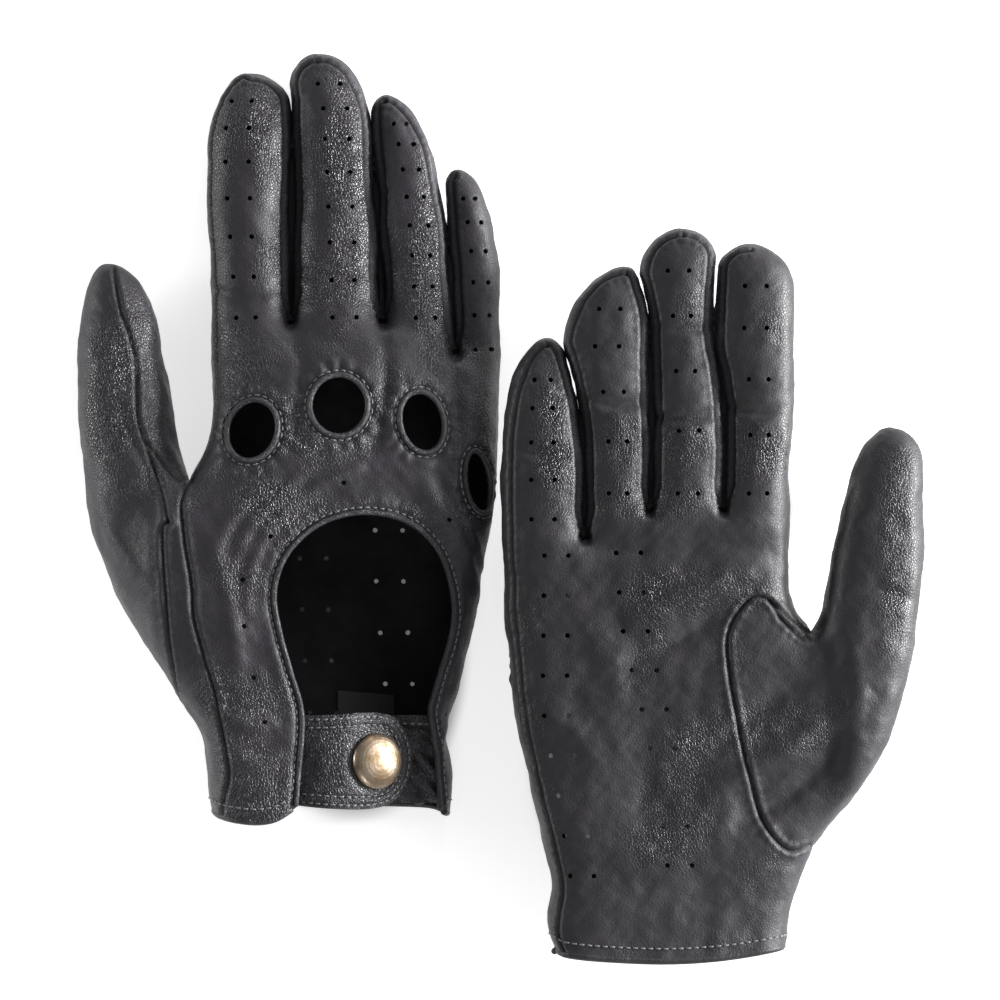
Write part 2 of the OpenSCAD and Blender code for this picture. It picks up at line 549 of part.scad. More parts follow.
// The tab is parallel to the strap under the snap, and ends under the keyhole's bound edge
module base_tab(g) {
  top = strap_t + tab_gap;
  w = strap_w - 0.6;
  edge_y = strap_y + opening_shift[g];
  clear = 0.3;
  end_z = min([for (y = [-w / 2, 0, w / 2]) back_at(g, [tab_x[1], edge_y + y])]) - leather_t - clear;
  flat_x = [tab_x[0], snap_x + 5];
  color(leather)
    difference() {
      translate([0, edge_y, 0])
        rotate([90, 0, 0])
          linear_extrude(w, center = true)
            polygon(concat([for (x = flat_x) strap_point(g, x, top)],
                           [[tab_x[1], end_z], [tab_x[1], end_z - tab_t]],
                           [for (i = [1, 0]) strap_point(g, flat_x[i], top + tab_t)]));
      snap_hole(g);
    }
}
module snap_cap(g) {
  cap_r = cap_d / 2;
  rim_h = 0.6;
  color(metal)
    on_snap(g) {
      rotate_extrude($fn = 96)
        polygon(concat([[0, 0], [cap_r - 0.4, 0], [cap_r, rim_h / 2]],
                       [for (a = [0:10:90]) [cap_r * cos(a), rim_h + (cap_h - rim_h) * sin(a)]]));
      translate([0, 0, -strap_t - 0.8])
        cylinder(h = strap_t + 0.9, d = tube_d, $fn = 48);
    }
}
module snap_socket(g) {
  plate_t = 0.8;
  color(metal)
    on_snap(g)
      translate([0, 0, -strap_t - socket_h])
        difference() {
          cylinder(h = socket_h, d = socket_d, $fn = 96);
          translate([0, 0, -1])
            cylinder(h = socket_h - plate_t + 1, d = socket_bore, $fn = 96);
          cylinder(h = socket_h + 1, d = tube_d, $fn = 48);
        }
}
module snap_stud(g) {
  flange_r = 5;
  neck_r = knob_d / 2 - 0.5;
  bore_h = 1.6;
  color(metal)
    on_snap(g)
      translate([0, 0, -strap_t - tab_gap])
        rotate_extrude($fn = 96)
          polygon([[tube_d / 2, 0], [flange_r, 0], [flange_r, stud_flange_t], [neck_r, stud_flange_t],
                   [neck_r, stud_flange_t + 0.7], [knob_d / 2, stud_flange_t + 1.2],
                   [knob_d / 2, stud_flange_t + 1.8], [neck_r, stud_flange_t + knob_h],
                   [0, stud_flange_t + knob_h], [0, bore_h], [tube_d / 2, bore_h]]);
}
module snap_eyelet(g) {
  flange_d = 11;
  flange_t = 0.7;
  color(metal)
    on_snap(g)
      translate([0, 0, -strap_t - tab_gap - tab_t - flange_t]) {
        cylinder(h = flange_t, d = flange_d, $fn = 96);
        cylinder(h = flange_t + tab_t + 1.5, d = tube_d, $fn = 48);
      }
}
// Woven label inside the palm, by the wrist
module size_label(g) {
  low = label_c + [0, opening_shift[g]] - [label_size[0], label_size[1]] / 2;
  over = 0.1;
  z = max([for (u = [0, 0.5, 1]) for (v = [0, 0.5, 1])
    let (x = low[0] + u * label_size[0], y = low[1] + v * label_size[1])
    palm_z(g, lane_of(g, x, y), x, y, 0)]) + leather_t + over;
  color(woven)
    translate([low[0], low[1], z])
      cube(label_size);
}

// ---- the pair --------------------------------------------------------------------
module place(g) {
  if (g == 0)
    translate([0, 0, -flat_z])
      children();
  else
    translate([0, 0, turned_height])
      rotate([0, 180, 0])
        children();
}
place(0) back_panel(0);  // glove1_back_panel
place(0) palm_panel(0);  // glove1_palm_panel
place(0) fourchette(0, 0);  // glove1_fourchette_index_middle
place(0) fourchette(0, 1);  // glove1_fourchette_middle_ring
place(0) fourchette(0, 2);  // glove1_fourchette_ring_little
place(0) thumb(0);  // glove1_thumb
place(0) thumb_quirk(0);  // glove1_thumb_quirk
place(0) facing(0, 0);  // glove1_facing_index
place(0) facing(0, 1);  // glove1_facing_middle
place(0) facing(0, 2);  // glove1_facing_ring
place(0) facing(0, 3);  // glove1_facing_little
place(0) keyhole_binding(0);  // glove1_keyhole_binding
place(0) wrist_binding(0);  // glove1_wrist_binding
place(0) strap_flap(0);  // glove1_strap_flap
place(0) strap_lining(0);  // glove1_strap_lining
place(0) snap_cap(0);  // glove1_snap_cap
place(0) snap_socket(0);  // glove1_snap_socket
place(0) base_tab(0);  // glove1_base_tab
place(0) snap_stud(0);  // glove1_snap_stud
place(0) snap_eyelet(0);  // glove1_snap_eyelet
place(0) size_label(0);  // glove1_size_label
place(1) back_panel(1);  // glove2_back_panel
place(1) palm_panel(1);  // glove2_palm_panel
place(1) fourchette(1, 0);  // glove2_fourchette_index_middle
place(1) fourchette(1, 1);  // glove2_fourchette_middle_ring
place(1) fourchette(1, 2);  // glove2_fourchette_ring_little
place(1) thumb(1);  // glove2_thumb
place(1) thumb_quirk(1);  // glove2_thumb_quirk
place(1) facing(1, 0);  // glove2_facing_index
place(1) facing(1, 1);  // glove2_facing_middle
place(1) facing(1, 2);  // glove2_facing_ring
place(1) facing(1, 3);  // glove2_facing_little
place(1) keyhole_binding(1);  // glove2_keyhole_binding
place(1) wrist_binding(1);  // glove2_wrist_binding
place(1) strap_flap(1);  // glove2_strap_flap
place(1) strap_lining(1);  // glove2_strap_lining
place(1) snap_cap(1);  // glove2_snap_cap
place(1) snap_socket(1);  // glove2_snap_socket
place(1) base_tab(1);  // glove2_base_tab
place(1) snap_stud(1);  // glove2_snap_stud
place(1) snap_eyelet(1);  // glove2_snap_eyelet
place(1) size_label(1);  // glove2_size_label
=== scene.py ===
"""A pair of right-hand leather driving gloves: one lies with its back up, the other with its palm up.

Each glove is shaped in millimetres in a local frame with its back up, its fingertips towards +Y and its
thumb towards -X, then put in place. The skin swells from its outline like a filled glove, and every
leather piece is a part of that skin, bounded by seams.
"""

import math

import bpy
import numpy as np
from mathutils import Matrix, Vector
from mathutils.geometry import delaunay_2d_cdt
from mathutils.kdtree import KDTree


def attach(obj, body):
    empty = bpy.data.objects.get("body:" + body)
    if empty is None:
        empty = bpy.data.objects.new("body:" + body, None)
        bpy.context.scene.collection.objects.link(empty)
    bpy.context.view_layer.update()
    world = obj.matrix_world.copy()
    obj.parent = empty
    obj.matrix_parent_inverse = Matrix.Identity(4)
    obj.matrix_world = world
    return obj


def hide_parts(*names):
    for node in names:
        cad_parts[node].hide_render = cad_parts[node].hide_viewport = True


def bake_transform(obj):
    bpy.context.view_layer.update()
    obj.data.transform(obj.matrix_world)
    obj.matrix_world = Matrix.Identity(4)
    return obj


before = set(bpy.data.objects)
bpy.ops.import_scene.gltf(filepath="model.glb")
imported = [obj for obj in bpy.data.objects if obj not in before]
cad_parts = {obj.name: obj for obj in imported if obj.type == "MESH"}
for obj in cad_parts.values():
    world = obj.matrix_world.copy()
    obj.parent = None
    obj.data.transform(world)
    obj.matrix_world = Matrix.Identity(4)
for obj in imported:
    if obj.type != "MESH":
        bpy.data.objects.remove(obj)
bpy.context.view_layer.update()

# A millimetre, in the frame's metres
MM = 0.001
# Spacing of the skin's points, in mm
STEP = 0.75
# Spacing of the outline's, the strap's and the tab's points, as a part of STEP
FINER = 0.8
# Spacing of the points on seams, bound edges and rows of stitches, in mm
PATH_STEP = 0.6
# Rows of cells down the glove's sides
SIDE_CELLS = 14
# Thickness of the leather, and the seed of its waves
LEATHER_T = 1.1
SEED = 7

# ---- outlines, in mm, as [y, x] from the wrist to the tips ------------------------------------
# Each table here has one entry a glove. Thumb side and little-finger side of the hand:
THUMB_SIDE = [
    [[-93, -87], [-68.6, -91.5], [-59.5, -96.4], [-41, -99.7], [-16, -101.6], [-6.7, -100.6],
     [7.3, -94.6], [19.8, -88.5], [36, -87.2], [68.6, -88.1], [93, -89.1], [140, -89.1]],
    [[-136, -87], [-123.5, -88.5], [-114, -91.2], [-103.7, -95.8], [-90, -97.5], [-70, -98.5],
     [-50, -98], [-39.3, -94.9], [-32, -90.3], [-22.9, -88], [16.8, -88.8], [41, -89.7], [90, -89.7]],
]
LITTLE_SIDE = [
    [[-93, -15.4], [-81, -14.2], [-68.6, -16.2], [-56.4, -12.5], [-41, -8.8], [-16.8, -4.6],
     [1.5, -1.5], [23, 0], [45, 0.2], [140, 0.2]],
    [[-136, -16.6], [-133.5, -15.3], [-130, -14.6], [-126.6, -14.9], [-115, -16.2],
     [-105, -14.3], [-90, -10.4], [-74.7, -7], [-53, -3.7], [-21, -1.2], [1.5, -0.6], [90, -0.6]],
]
# Lines between two fingers
GAPS = [
    [[[55.5, -63.4], [120, -63.4], [129, -64.5]],
     [[55.5, -35.4], [81, -36.6], [125, -39.7]],
     [[46, -13.2], [81, -15.6], [100, -17.1]]],
    [[[-2, -68], [19.8, -68.6], [38, -67.4], [50, -65.3], [76, -66.2]],
     [[-2, -45.8], [20, -46.4], [42, -45.8], [57.6, -45.4], [70, -42.4]],
     [[-9.8, -25.9], [10.7, -25.9], [26, -24.7], [38, -22.3], [49, -19.2]]],
]
# Fingertips: x and y of the apex, length of the rounding on its left and on its right
TIPS = [
    [[-76.9, 132.4, 28, 9], [-55.2, 137.6, 10, 20], [-34.8, 125.6, 6, 42], [-13.1, 102.8, 6, 37]],
    [[-76.6, 79.3, 16, 8], [-55.5, 83.9, 9, 15], [-38.7, 72.3, 5, 26], [-14.6, 50.9, 5, 40]],
]
# Places of the wrist's edge, of the thumb's base and of the thumb's crotch
WRIST_Y = [-93, -136]
THUMB_BASE_Y = [-59.5, -103.7]
CROTCH_Y = [7.3, -39.3]
# Thumb's two sides, and its tips, given as the fingertips are
THUMB_OUTER = [
    [[-59.5, -96.6], [-47, -105.2], [-29, -116.2], [-7.6, -124.1], [13.7, -127.2], [32, -128.7],
     [80, -128.7]],
    [[-103.7, -96], [-99, -100], [-90, -106.8], [-76.3, -116.2], [-62.5, -121.7], [-50, -125],
     [-38, -126.8], [-16.8, -128.7], [30, -128.7]],
]
THUMB_INNER = [
    [[7.3, -94.6], [17, -97.6], [35, -100.3], [48.5, -103.1], [75, -105.5]],
    [[-39.3, -94.9], [-35, -97], [-25.9, -99.1], [-16.8, -100.7], [-7.6, -102.5], [7.6, -106.5],
     [25, -110]],
]
THUMB_TIPS = [[-119.6, 73.8, 30, 21], [-119.3, 23.5, 12, 14]]
# Half of the gap between two fingers
FINGER_GAP = 0.12
# Points on each side of a finger, before they are spaced evenly
EDGE_POINTS = 400
# How far the strips between the fingers swell into the gap, and how far below the shorter finger's tip
# that starts and over what length it grows
FOURCHETTE_FULL = 0.8
FOURCHETTE_START, FOURCHETTE_GROWS = 16, 14
# Length over which the outline's normals turn level towards the wrist's edge
WRIST_TURN = 8

# ---- curves and paths -------------------------------------------------------------------------


def ease(t):
    """Smooth step from 0 to 1."""
    t = np.clip(t, 0, 1)
    return t * t * (3 - 2 * t)


def curve(points, y):
    """Smooth curve through [y, x] points, held level past its ends."""
    p = np.asarray(points, float)
    y = np.clip(np.asarray(y, float), p[0, 0], p[-1, 0])
    i = np.clip(np.searchsorted(p[:, 0], y, side="right") - 1, 0, len(p) - 2)
    slope = np.empty(len(p))
    slope[1:-1] = (p[2:, 1] - p[:-2, 1]) / (p[2:, 0] - p[:-2, 0])
    slope[0] = (p[1, 1] - p[0, 1]) / (p[1, 0] - p[0, 0])
    slope[-1] = (p[-1, 1] - p[-2, 1]) / (p[-1, 0] - p[-2, 0])
    h = p[i + 1, 0] - p[i, 0]
    t = (y - p[i, 0]) / h
    return ((2 * t**3 - 3 * t**2 + 1) * p[i, 1] + (t**3 - 2 * t**2 + t) * slope[i] * h
            + (3 * t**2 - 2 * t**3) * p[i + 1, 1] + (t**3 - t**2) * slope[i + 1] * h)


def bell(distance, width):
    """1 in the middle, falling to 0 past about twice the width."""
    return np.exp(-((distance / width) ** 2))


def lengths(path):
    """Distance along a path at each of its points."""
    return np.concatenate([[0], np.cumsum(np.linalg.norm(np.diff(path, axis=0), axis=1))])


def rows_at(at, s, rows):
    """Rows given at the distances s, read off at other distances."""
    return np.stack([np.interp(at, s, rows[:, k]) for k in range(rows.shape[1])], 1)


def resample(path, step, closed=False):
    """The path with evenly spaced points, which don't repeat the first one where it is closed."""
    path = np.asarray(path, float)
    if closed:
        path = np.vstack([path, path[:1]])
    s = lengths(path)
    n = max(2, int(round(s[-1] / step)))
    made = rows_at(np.linspace(0, s[-1], n + 1), s, path)
    return made[:-1] if closed else made


def angles(n):
    """n angles, evenly round a circle."""
    return np.linspace(0, 2 * math.pi, n + 1)[:-1]


def spline(points, step):
    """Evenly spaced points on a smooth curve through the given points."""
    p = np.asarray(points, float)
    p = np.vstack([2 * p[0] - p[1], p, 2 * p[-1] - p[-2]])
    t = np.linspace(0, 1, 13)[:, None]
    made = [0.5 * (2 * b + (c - a) * t + (2 * a - 5 * b + 4 * c - d) * t**2
                   + (3 * b - a - 3 * c + d) * t**3)
            for a, b, c, d in zip(p, p[1:], p[2:], p[3:])]
    return resample(np.vstack(made), step)


def unit_rows(n):
    """Rows scaled to a length of 1."""
    return n / np.maximum(np.linalg.norm(n, axis=1), 1e-12)[:, None]


def directions(path, closed=False):
    """Which way the path runs at each point."""
    return np.roll(path, -1, 0) - np.roll(path, 1, 0) if closed else np.gradient(path, axis=0)


def path_normals(path, closed=False):
    """Unit normals to the right of the way the path runs."""
    d = directions(path, closed)
    return unit_rows(np.stack([d[:, 1], -d[:, 0]], 1))


def inside(points, loop):
    """Which points lie inside a closed loop."""
    x, y = points[:, 0], points[:, 1]
    hit = np.zeros(len(points), bool)
    for (x0, y0), (x1, y1) in zip(loop, np.roll(loop, -1, 0)):
        if y0 != y1:
            hit ^= ((y0 > y) != (y1 > y)) & (x < (x1 - x0) * (y - y0) / (y1 - y0) + x0)
    return hit


def in_space(points):
    """Points with a z, which is 0 for flat ones."""
    p = np.asarray(points, float)
    return np.column_stack([p, np.zeros(len(p))]) if p.shape[1] == 2 else p


def search_tree(points):
    """A tree that finds the nearest of some points."""
    tree = KDTree(len(points))
    for i, p in enumerate(in_space(points)):
        tree.insert(p, i)
    tree.balance()
    return tree


class Near:
    """Distance from points to a path, and how far along the path the nearest place is."""

    def __init__(self, path, step=0.5):
        self.path = resample(in_space(path), step)
        self.s = lengths(self.path)
        self.tree = search_tree(self.path)

    def __call__(self, points):
        p = in_space(points)
        i = np.array([self.tree.find(q)[1] for q in p])
        best = np.full(len(p), np.inf)
        along = np.zeros(len(p))
        for j in (np.maximum(i - 1, 0), np.minimum(i, len(self.path) - 2)):
            a, b = self.path[j], self.path[j + 1]
            t = np.clip(((p - a) * (b - a)).sum(1) / ((b - a) ** 2).sum(1), 0, 1)
            d = np.linalg.norm(p - a - (b - a) * t[:, None], axis=1)
            along = np.where(d < best, self.s[j] + t * (self.s[j + 1] - self.s[j]), along)
            best = np.minimum(best, d)
        return best, along


def waves(points, length, seed, count=28):
    """Smooth noise of about unit size whose bumps are about length across."""
    rng = np.random.default_rng(seed)
    turn = rng.normal(size=(count, 3))
    turn /= np.linalg.norm(turn, axis=1)[:, None]
    k = turn * (2 * math.pi / length) * rng.uniform(0.6, 1.5, count)[:, None]
    return np.sin(points @ k.T + rng.uniform(0, 2 * math.pi, count)).sum(1) / math.sqrt(count / 2)


# ---- the outline of a glove -------------------------------------------------------------------


def rounded_edge(line, low, tip, side, shift=0.0):
    """One side of a finger or the thumb, from its bottom to its apex, where it turns in."""
    apex_x, apex_y, *rounds = tip
    y = apex_y - (apex_y - low) * (1 - np.sin(np.linspace(0, math.pi / 2, EDGE_POINTS)))
    t = np.clip((y - apex_y + rounds[side]) / rounds[side], 0, 1)
    return np.stack([apex_x + (curve(line, y) + shift - apex_x) * np.sqrt(1 - t * t), y], 1)


def finger_edge(g, f, side):
    """The left (0) or right (1) side of a finger's outline."""
    if side == 0 and f == 0:
        return rounded_edge(THUMB_SIDE[g], CROTCH_Y[g], TIPS[g][f], side)
    if side == 1 and f == 3:
        return rounded_edge(LITTLE_SIDE[g], WRIST_Y[g], TIPS[g][f], side)
    line = GAPS[g][f - 1 + side]
    return rounded_edge(line, line[0][0], TIPS[g][f], side, -FINGER_GAP if side else FINGER_GAP)


def thumb_edge(g, side):
    """The outer (0) or inner (1) side of the thumb's outline."""
    line = (THUMB_OUTER, THUMB_INNER)[side][g]
    return rounded_edge(line, line[0][0], THUMB_TIPS[g], side)


def outline(g):
    """Outline from the wrist's thumb side round the thumb and fingers to the wrist's far side.
    Returns points, the number of the section that each lies on, and inward normals."""
    y = np.linspace(WRIST_Y[g], THUMB_BASE_Y[g], 60)
    sections = [np.stack([curve(THUMB_SIDE[g], y), y], 1)]
    sections.append(np.vstack([thumb_edge(g, 0), thumb_edge(g, 1)[::-1]]))
    sections.append(finger_edge(g, 0, 0))
    for f in range(3):
        down, up = finger_edge(g, f, 1)[::-1], finger_edge(g, f + 1, 0)
        bottom = [[(down[-1, 0] + up[0, 0]) / 2, down[-1, 1] - FINGER_GAP]]
        sections.append(np.vstack([down, bottom, up]))
    sections.append(finger_edge(g, 3, 1)[::-1])
    points, section = [], []
    for k, path in enumerate(sections):
        made = resample(path, STEP * FINER)
        made = made if k == len(sections) - 1 else made[:-1]
        points.append(made)
        section.append(np.full(len(made), k))
    points = np.vstack(points)
    normals = path_normals(points)
    normals[:, 1] *= ease((points[:, 1] - WRIST_Y[g]) / WRIST_TURN)
    return points, np.concatenate(section), unit_rows(normals)


# Distance of the seams from the outline on the back and on the palm side, for each section
SEAM_IN = {0: (1.2, 1.2), 1: (1.2, 1.2), 2: (1.5, 1.6), 3: (2.3, 2.3), 4: (2.3, 2.3), 5: (2.3, 2.3),
           6: (0.9, 3.0)}
# The same at the bottom of each gap between fingers, and how fast it grows from there
CROTCH_IN = 0.3
CROTCH_SLOPE = 0.24
# Sections of the outline between two fingers
BETWEEN_FINGERS = (3, 4, 5)


def seam_insets(points, section):
    """How far in from the outline the skin's sheets start, on the back and on the palm side."""
    ins = np.array([SEAM_IN[k] for k in section], float)
    for k in BETWEEN_FINGERS:
        here = section == k
        away = np.abs(np.arange(here.sum()) - np.argmin(points[here, 1])) * STEP * FINER
        ins[here] = np.minimum(ins[here], (CROTCH_IN + CROTCH_SLOPE * away)[:, None])
    kernel = np.array([1, 4, 6, 4, 1]) / 16
    for side in (0, 1):
        padded = np.pad(ins[:, side], 2, mode="edge")
        ins[:, side] = np.convolve(padded, kernel, mode="valid")
    return ins


# ---- the swell of a glove ---------------------------------------------------------------------
# Spacing of the grid that the swell is solved on
GRID = 0.5
# Rounds that the film's height is solved in, and how far each goes past its mark to get there sooner
SOLVE_ROUNDS, OVERSHOOT = 160, 1.7
# Width past which the swell levels off, in mm
LEVEL = 24.0


def blur(a, sigma):
    """Gaussian blur of a grid."""
    n = int(3 * sigma) + 1
    k = np.exp(-np.arange(-n, n + 1) ** 2 / (2 * sigma**2))
    k /= k.sum()
    for axis in (0, 1):
        a = np.apply_along_axis(lambda r: np.convolve(np.pad(r, n, mode="edge"), k, "valid"), axis, a)
    return a


class Swell:
    """The round swell of a filled outline: like the height of a soap film, which is 0 at the outline."""

    def __init__(self, points, bottom):
        self.edge = Near(points, 0.4)
        fine = resample(points, 0.2)
        lo = np.array([points[:, 0].min() - 3, bottom])
        hi = points.max(0) + 3
        self.lo = lo + GRID / 2
        phi = None
        for h in (4 * GRID, 2 * GRID, GRID):
            nx, ny = (np.ceil((hi - lo) / h)).astype(int)
            x, y = lo[0] + h * (np.arange(nx) + 0.5), lo[1] + h * (np.arange(ny) + 0.5)
            mask = self._mask(points, x, y)
            col, row = ((fine - lo) / h).astype(int).T
            on = (row >= 0) & (row < len(y)) & (col >= 0) & (col < len(x))
            mask[row[on], col[on]] = False
            phi = np.zeros(mask.shape) if phi is None else self._finer(phi, mask.shape)
            phi = self._solve(phi, mask, h)
        self.phi = blur(phi, 1.2)
        gx, gy = np.meshgrid(x, y)
        near = np.zeros(mask.shape, bool)
        near[blur(mask.astype(float), 4) < 0.999] = True
        near &= mask
        d = np.full(mask.shape, 99.0)
        d[near] = self.edge(np.stack([gx[near], gy[near]], 1))[0]
        use = near & (d > 0.9) & (d < 5)
        ratio = np.where(use, phi / np.maximum(d, 0.5), 0)
        self.slope = blur(ratio, 4) / np.maximum(blur(use.astype(float), 4), 1e-6)

    @staticmethod
    def _mask(points, x, y):
        """Which cells of a grid lie inside the outline, found row by row."""
        mask = np.zeros((len(y), len(x)), bool)
        a, b = points, np.roll(points, -1, 0)
        for row, yy in enumerate(y):
            cross = (a[:, 1] > yy) != (b[:, 1] > yy)
            p, q = a[cross], b[cross]
            xs = np.sort(p[:, 0] + (yy - p[:, 1]) / (q[:, 1] - p[:, 1]) * (q[:, 0] - p[:, 0]))
            for left, right in zip(xs[::2], xs[1::2]):
                mask[row] |= (x > left) & (x < right)
        return mask

    @staticmethod
    def _finer(phi, shape):
        """The heights on a grid of half the spacing."""
        fine = np.repeat(np.repeat(phi, 2, 0), 2, 1)
        made = np.zeros(shape)
        n, m = min(shape[0], fine.shape[0]), min(shape[1], fine.shape[1])
        made[:n, :m] = fine[:n, :m]
        return made

    @staticmethod
    def _solve(phi, mask, h):
        """Heights of the film, with the cells taken in turn like a chessboard's two colours."""
        i, j = np.indices(phi.shape)
        red = (i + j) % 2 == 0
        for _ in range(SOLVE_ROUNDS):
            for colour in (red & mask, ~red & mask):
                p = np.pad(phi, 1)
                p[0] = p[1]
                total = p[:-2, 1:-1] + p[2:, 1:-1] + p[1:-1, :-2] + p[1:-1, 2:]
                new = (total + h * h) / (4 + (h / LEVEL) ** 2)
                phi = np.where(colour, phi + OVERSHOOT * (new - phi), phi)
        return np.where(mask, phi, 0)

    def _sample(self, grid, p):
        """Smooth look-up in a grid."""
        q = (p - self.lo) / GRID
        i = np.floor(q).astype(int)
        t = q - i
        total = np.zeros(len(p))
        w = [[-0.5 * a + a**2 - 0.5 * a**3, 1 - 2.5 * a**2 + 1.5 * a**3,
              0.5 * a + 2 * a**2 - 1.5 * a**3, -0.5 * a**2 + 0.5 * a**3] for a in (t[:, 0], t[:, 1])]
        for dy in range(4):
            row = np.clip(i[:, 1] + dy - 1, 0, grid.shape[0] - 1)
            for dx in range(4):
                col = np.clip(i[:, 0] + dx - 1, 0, grid.shape[1] - 1)
                total += w[0][dx] * w[1][dy] * grid[row, col]
        return total

    def __call__(self, p):
        """Radius of the swell at points."""
        d = self.edge(p)[0]
        w = ease((d - 1.6) / 1.8)
        phi = (1 - w) * d * self._sample(self.slope, p) + w * self._sample(self.phi, p)
        return np.sqrt(np.maximum(2 * phi, 0))


# Heights of the middle of the hand, of the fingers and of the thumb, over the local frame's z = 0
HAND_MID, FINGER_MID, THUMB_MID = 14.2, 10.6, 12.8
# Most that each glove's back and the palms rise from there
BACK_RISE = [21.5, 23.0]
PALM_RISE = 12.4
# How much higher the back's thumb side rises
SKEW = 0.3
# How far the little finger's side lies below the middle, as [distance from the wrist, height]
TILT = [[0, 5], [60, 3], [120, 1.5], [150, 1]]
# Height that glove 1 rests at, and the height that glove 2 is turned over at
REST_Z = 1.8
TURNED_H = 34.936
# How hard heights level off at the surface that the gloves rest on
LEVEL_TURN = 1.6
# Waves of the leather: height and length
WAVES = [[0.22, 26], [0.09, 8], [0.03, 3.4]]


class Shape:
    """Heights of a glove's back and palm over its outline."""

    def __init__(self, g):
        self.g = g
        self.points, self.section, self.normals = outline(g)
        self.insets = seam_insets(self.points, self.section)
        self.rims = [self.points + self.normals * self.insets[:, k:k + 1] for k in (0, 1)]
        self.swell = Swell(self.points, WRIST_Y[g])

    def middle(self, p):
        """Height of the middle, the place across from -1 at the thumb, and the distance from the wrist."""
        g, x, y = self.g, p[:, 0], p[:, 1]
        left, right = curve(THUMB_SIDE[g], y), curve(LITTLE_SIDE[g], y)
        s = np.clip(2 * (x - left) / (right - left) - 1, -1.3, 1)
        d = y - WRIST_Y[g]
        web = GAPS[g][2][0][0] + (GAPS[g][0][0][0] - GAPS[g][2][0][0]) * ease((-20 - x) / 14)
        finger = ease((y - web + 28) / 34)
        thumb = ease((left - x) / 12) * ease((y - THUMB_BASE_Y[g]) / 20)
        mid = HAND_MID + (FINGER_MID - HAND_MID) * finger
        mid = mid + (THUMB_MID - mid) * thumb
        return mid - curve(TILT, d) * s * (1 - 0.6 * thumb), s, d

    def back(self, p):
        """Height of the back's outer surface."""
        mid, s, d = self.middle(p)
        skew = SKEW * np.clip(s, -1, 1) * ease((150 - d) / 90)
        rise = BACK_RISE[self.g]
        z = mid + rise * np.tanh(self.swell(p) / rise) * (1 - skew)
        return z if self.g == 0 else soft_top(z, TURNED_H)

    def palm(self, p):
        """Height of the palm's outer surface."""
        z = self.middle(p)[0] - PALM_RISE * np.tanh(self.swell(p) / PALM_RISE)
        return -soft_top(-z, -REST_Z) if self.g == 0 else z

    def flat_point(self, p, side):
        """Points of the plain surface over flat points."""
        return np.column_stack([p, self.palm(p) if side else self.back(p)])

    def normal(self, p, side):
        """Normals of the plain surface, from its slope over a short way."""
        h = 0.4
        dx = self.flat_point(p + [h, 0], side) - self.flat_point(p - [h, 0], side)
        dy = self.flat_point(p + [0, h], side) - self.flat_point(p - [0, h], side)
        n = np.cross(dx, dy)
        n /= np.linalg.norm(n, axis=1)[:, None]
        return -n if side else n

    def skin_point(self, p, side, lift=0.0):
        """Points of the finished surface over flat points, and its normals."""
        q, n = self.flat_point(p, side), self.normal(p, side)
        q = q + n * (self.detail(q, np.full(len(q), float(side)))[0] + lift)[:, None]
        return self.warp(q), n

    def warp(self, q):
        """Draws the wrist's edge to its true line."""
        q = q.copy()
        fade = 1 - ease((q[:, 1] - WRIST_Y[self.g]) / 25)
        q[:, 1] += curve(WRIST_LINE[self.g], q[:, 0]) * fade
        return q

    def detail(self, q, side):
        """How far the leather stands off the plain surface, and the painted shade along its seams'
        grooves.
        """
        back = side < 0.5
        seeds = (SEED + self.g, SEED + 2, SEED + 3)
        high = sum(size * waves(q, long, seed) for (size, long), seed in zip(WAVES, seeds))
        for which, line, amp, width in self.folds:
            use = back if which == 0 else ~back
            if use.any():
                d, along = line(q[use])
                fade = np.sin(np.pi * np.clip(along / line.s[-1], 0, 1)) ** 0.7
                high[use] += amp * bell(d, width) * fade
        dark = np.zeros(len(q))
        for line, deep in self.seams:
            d, along = line(q)
            pucker = np.sin(along * 2.05 + 0.9 * np.sin(along * 0.31)) * bell(d - 1.7, 1.3)
            high -= deep * bell(d, 0.55) - 0.45 * deep * bell(d - 1.5, 0.8)
            high += 0.16 * deep * pucker
            # Painted shade: the leather darkens along each seam's groove.
            dark = np.maximum(dark, bell(d, 0.65))
        if back.any():
            self.gather(q, back, high, dark)
        return high, dark

    def gather(self, q, back, high, dark):
        """Adds the puckers and the groove round each bound edge of the back, and painted shade in that
        groove.
        """
        for k, line in enumerate(self.bound):
            much = KEYHOLE_GATHER if k == len(KNUCKLES) else 1
            d, along = line(q[back])
            pucker = np.sin(along * 1.9 + 1.1 * np.sin(along * 0.45))
            high[back] += 0.3 * bell(d - 4.2, 1.7) * (1 + much * pucker) - 0.42 * bell(d - 2.2, 0.6)
            # Painted shade in the groove round each bound edge.
            dark[back] = np.maximum(dark[back], 0.7 * bell(d - 2.2, 0.5))


def soft_top(z, top):
    """Levels heights off at a top, with a soft turn."""
    return top - np.logaddexp(0, (top - z) * LEVEL_TURN) / LEVEL_TURN


# ---- seams, openings and folds, in mm ---------------------------------------------------------
# Wrist edge: how far it lies from its straight line, as [x, y]
WRIST_LINE = [
    [[-87, 0.4], [-84, -1.2], [-74.4, -2.7], [-68, -2.0], [-64, 0.3], [-60.4, 2.6], [-40, 1.8],
     [-22.3, 1.2], [-18.5, 0.4], [-15.6, -1.0], [-13, 0.5]],
    [[-86.6, 1.8], [-70, -0.8], [-52.2, -1.9], [-34, -1.2], [-19.8, 0.3], [-16.5, 1.8], [-14, 3.0]],
]
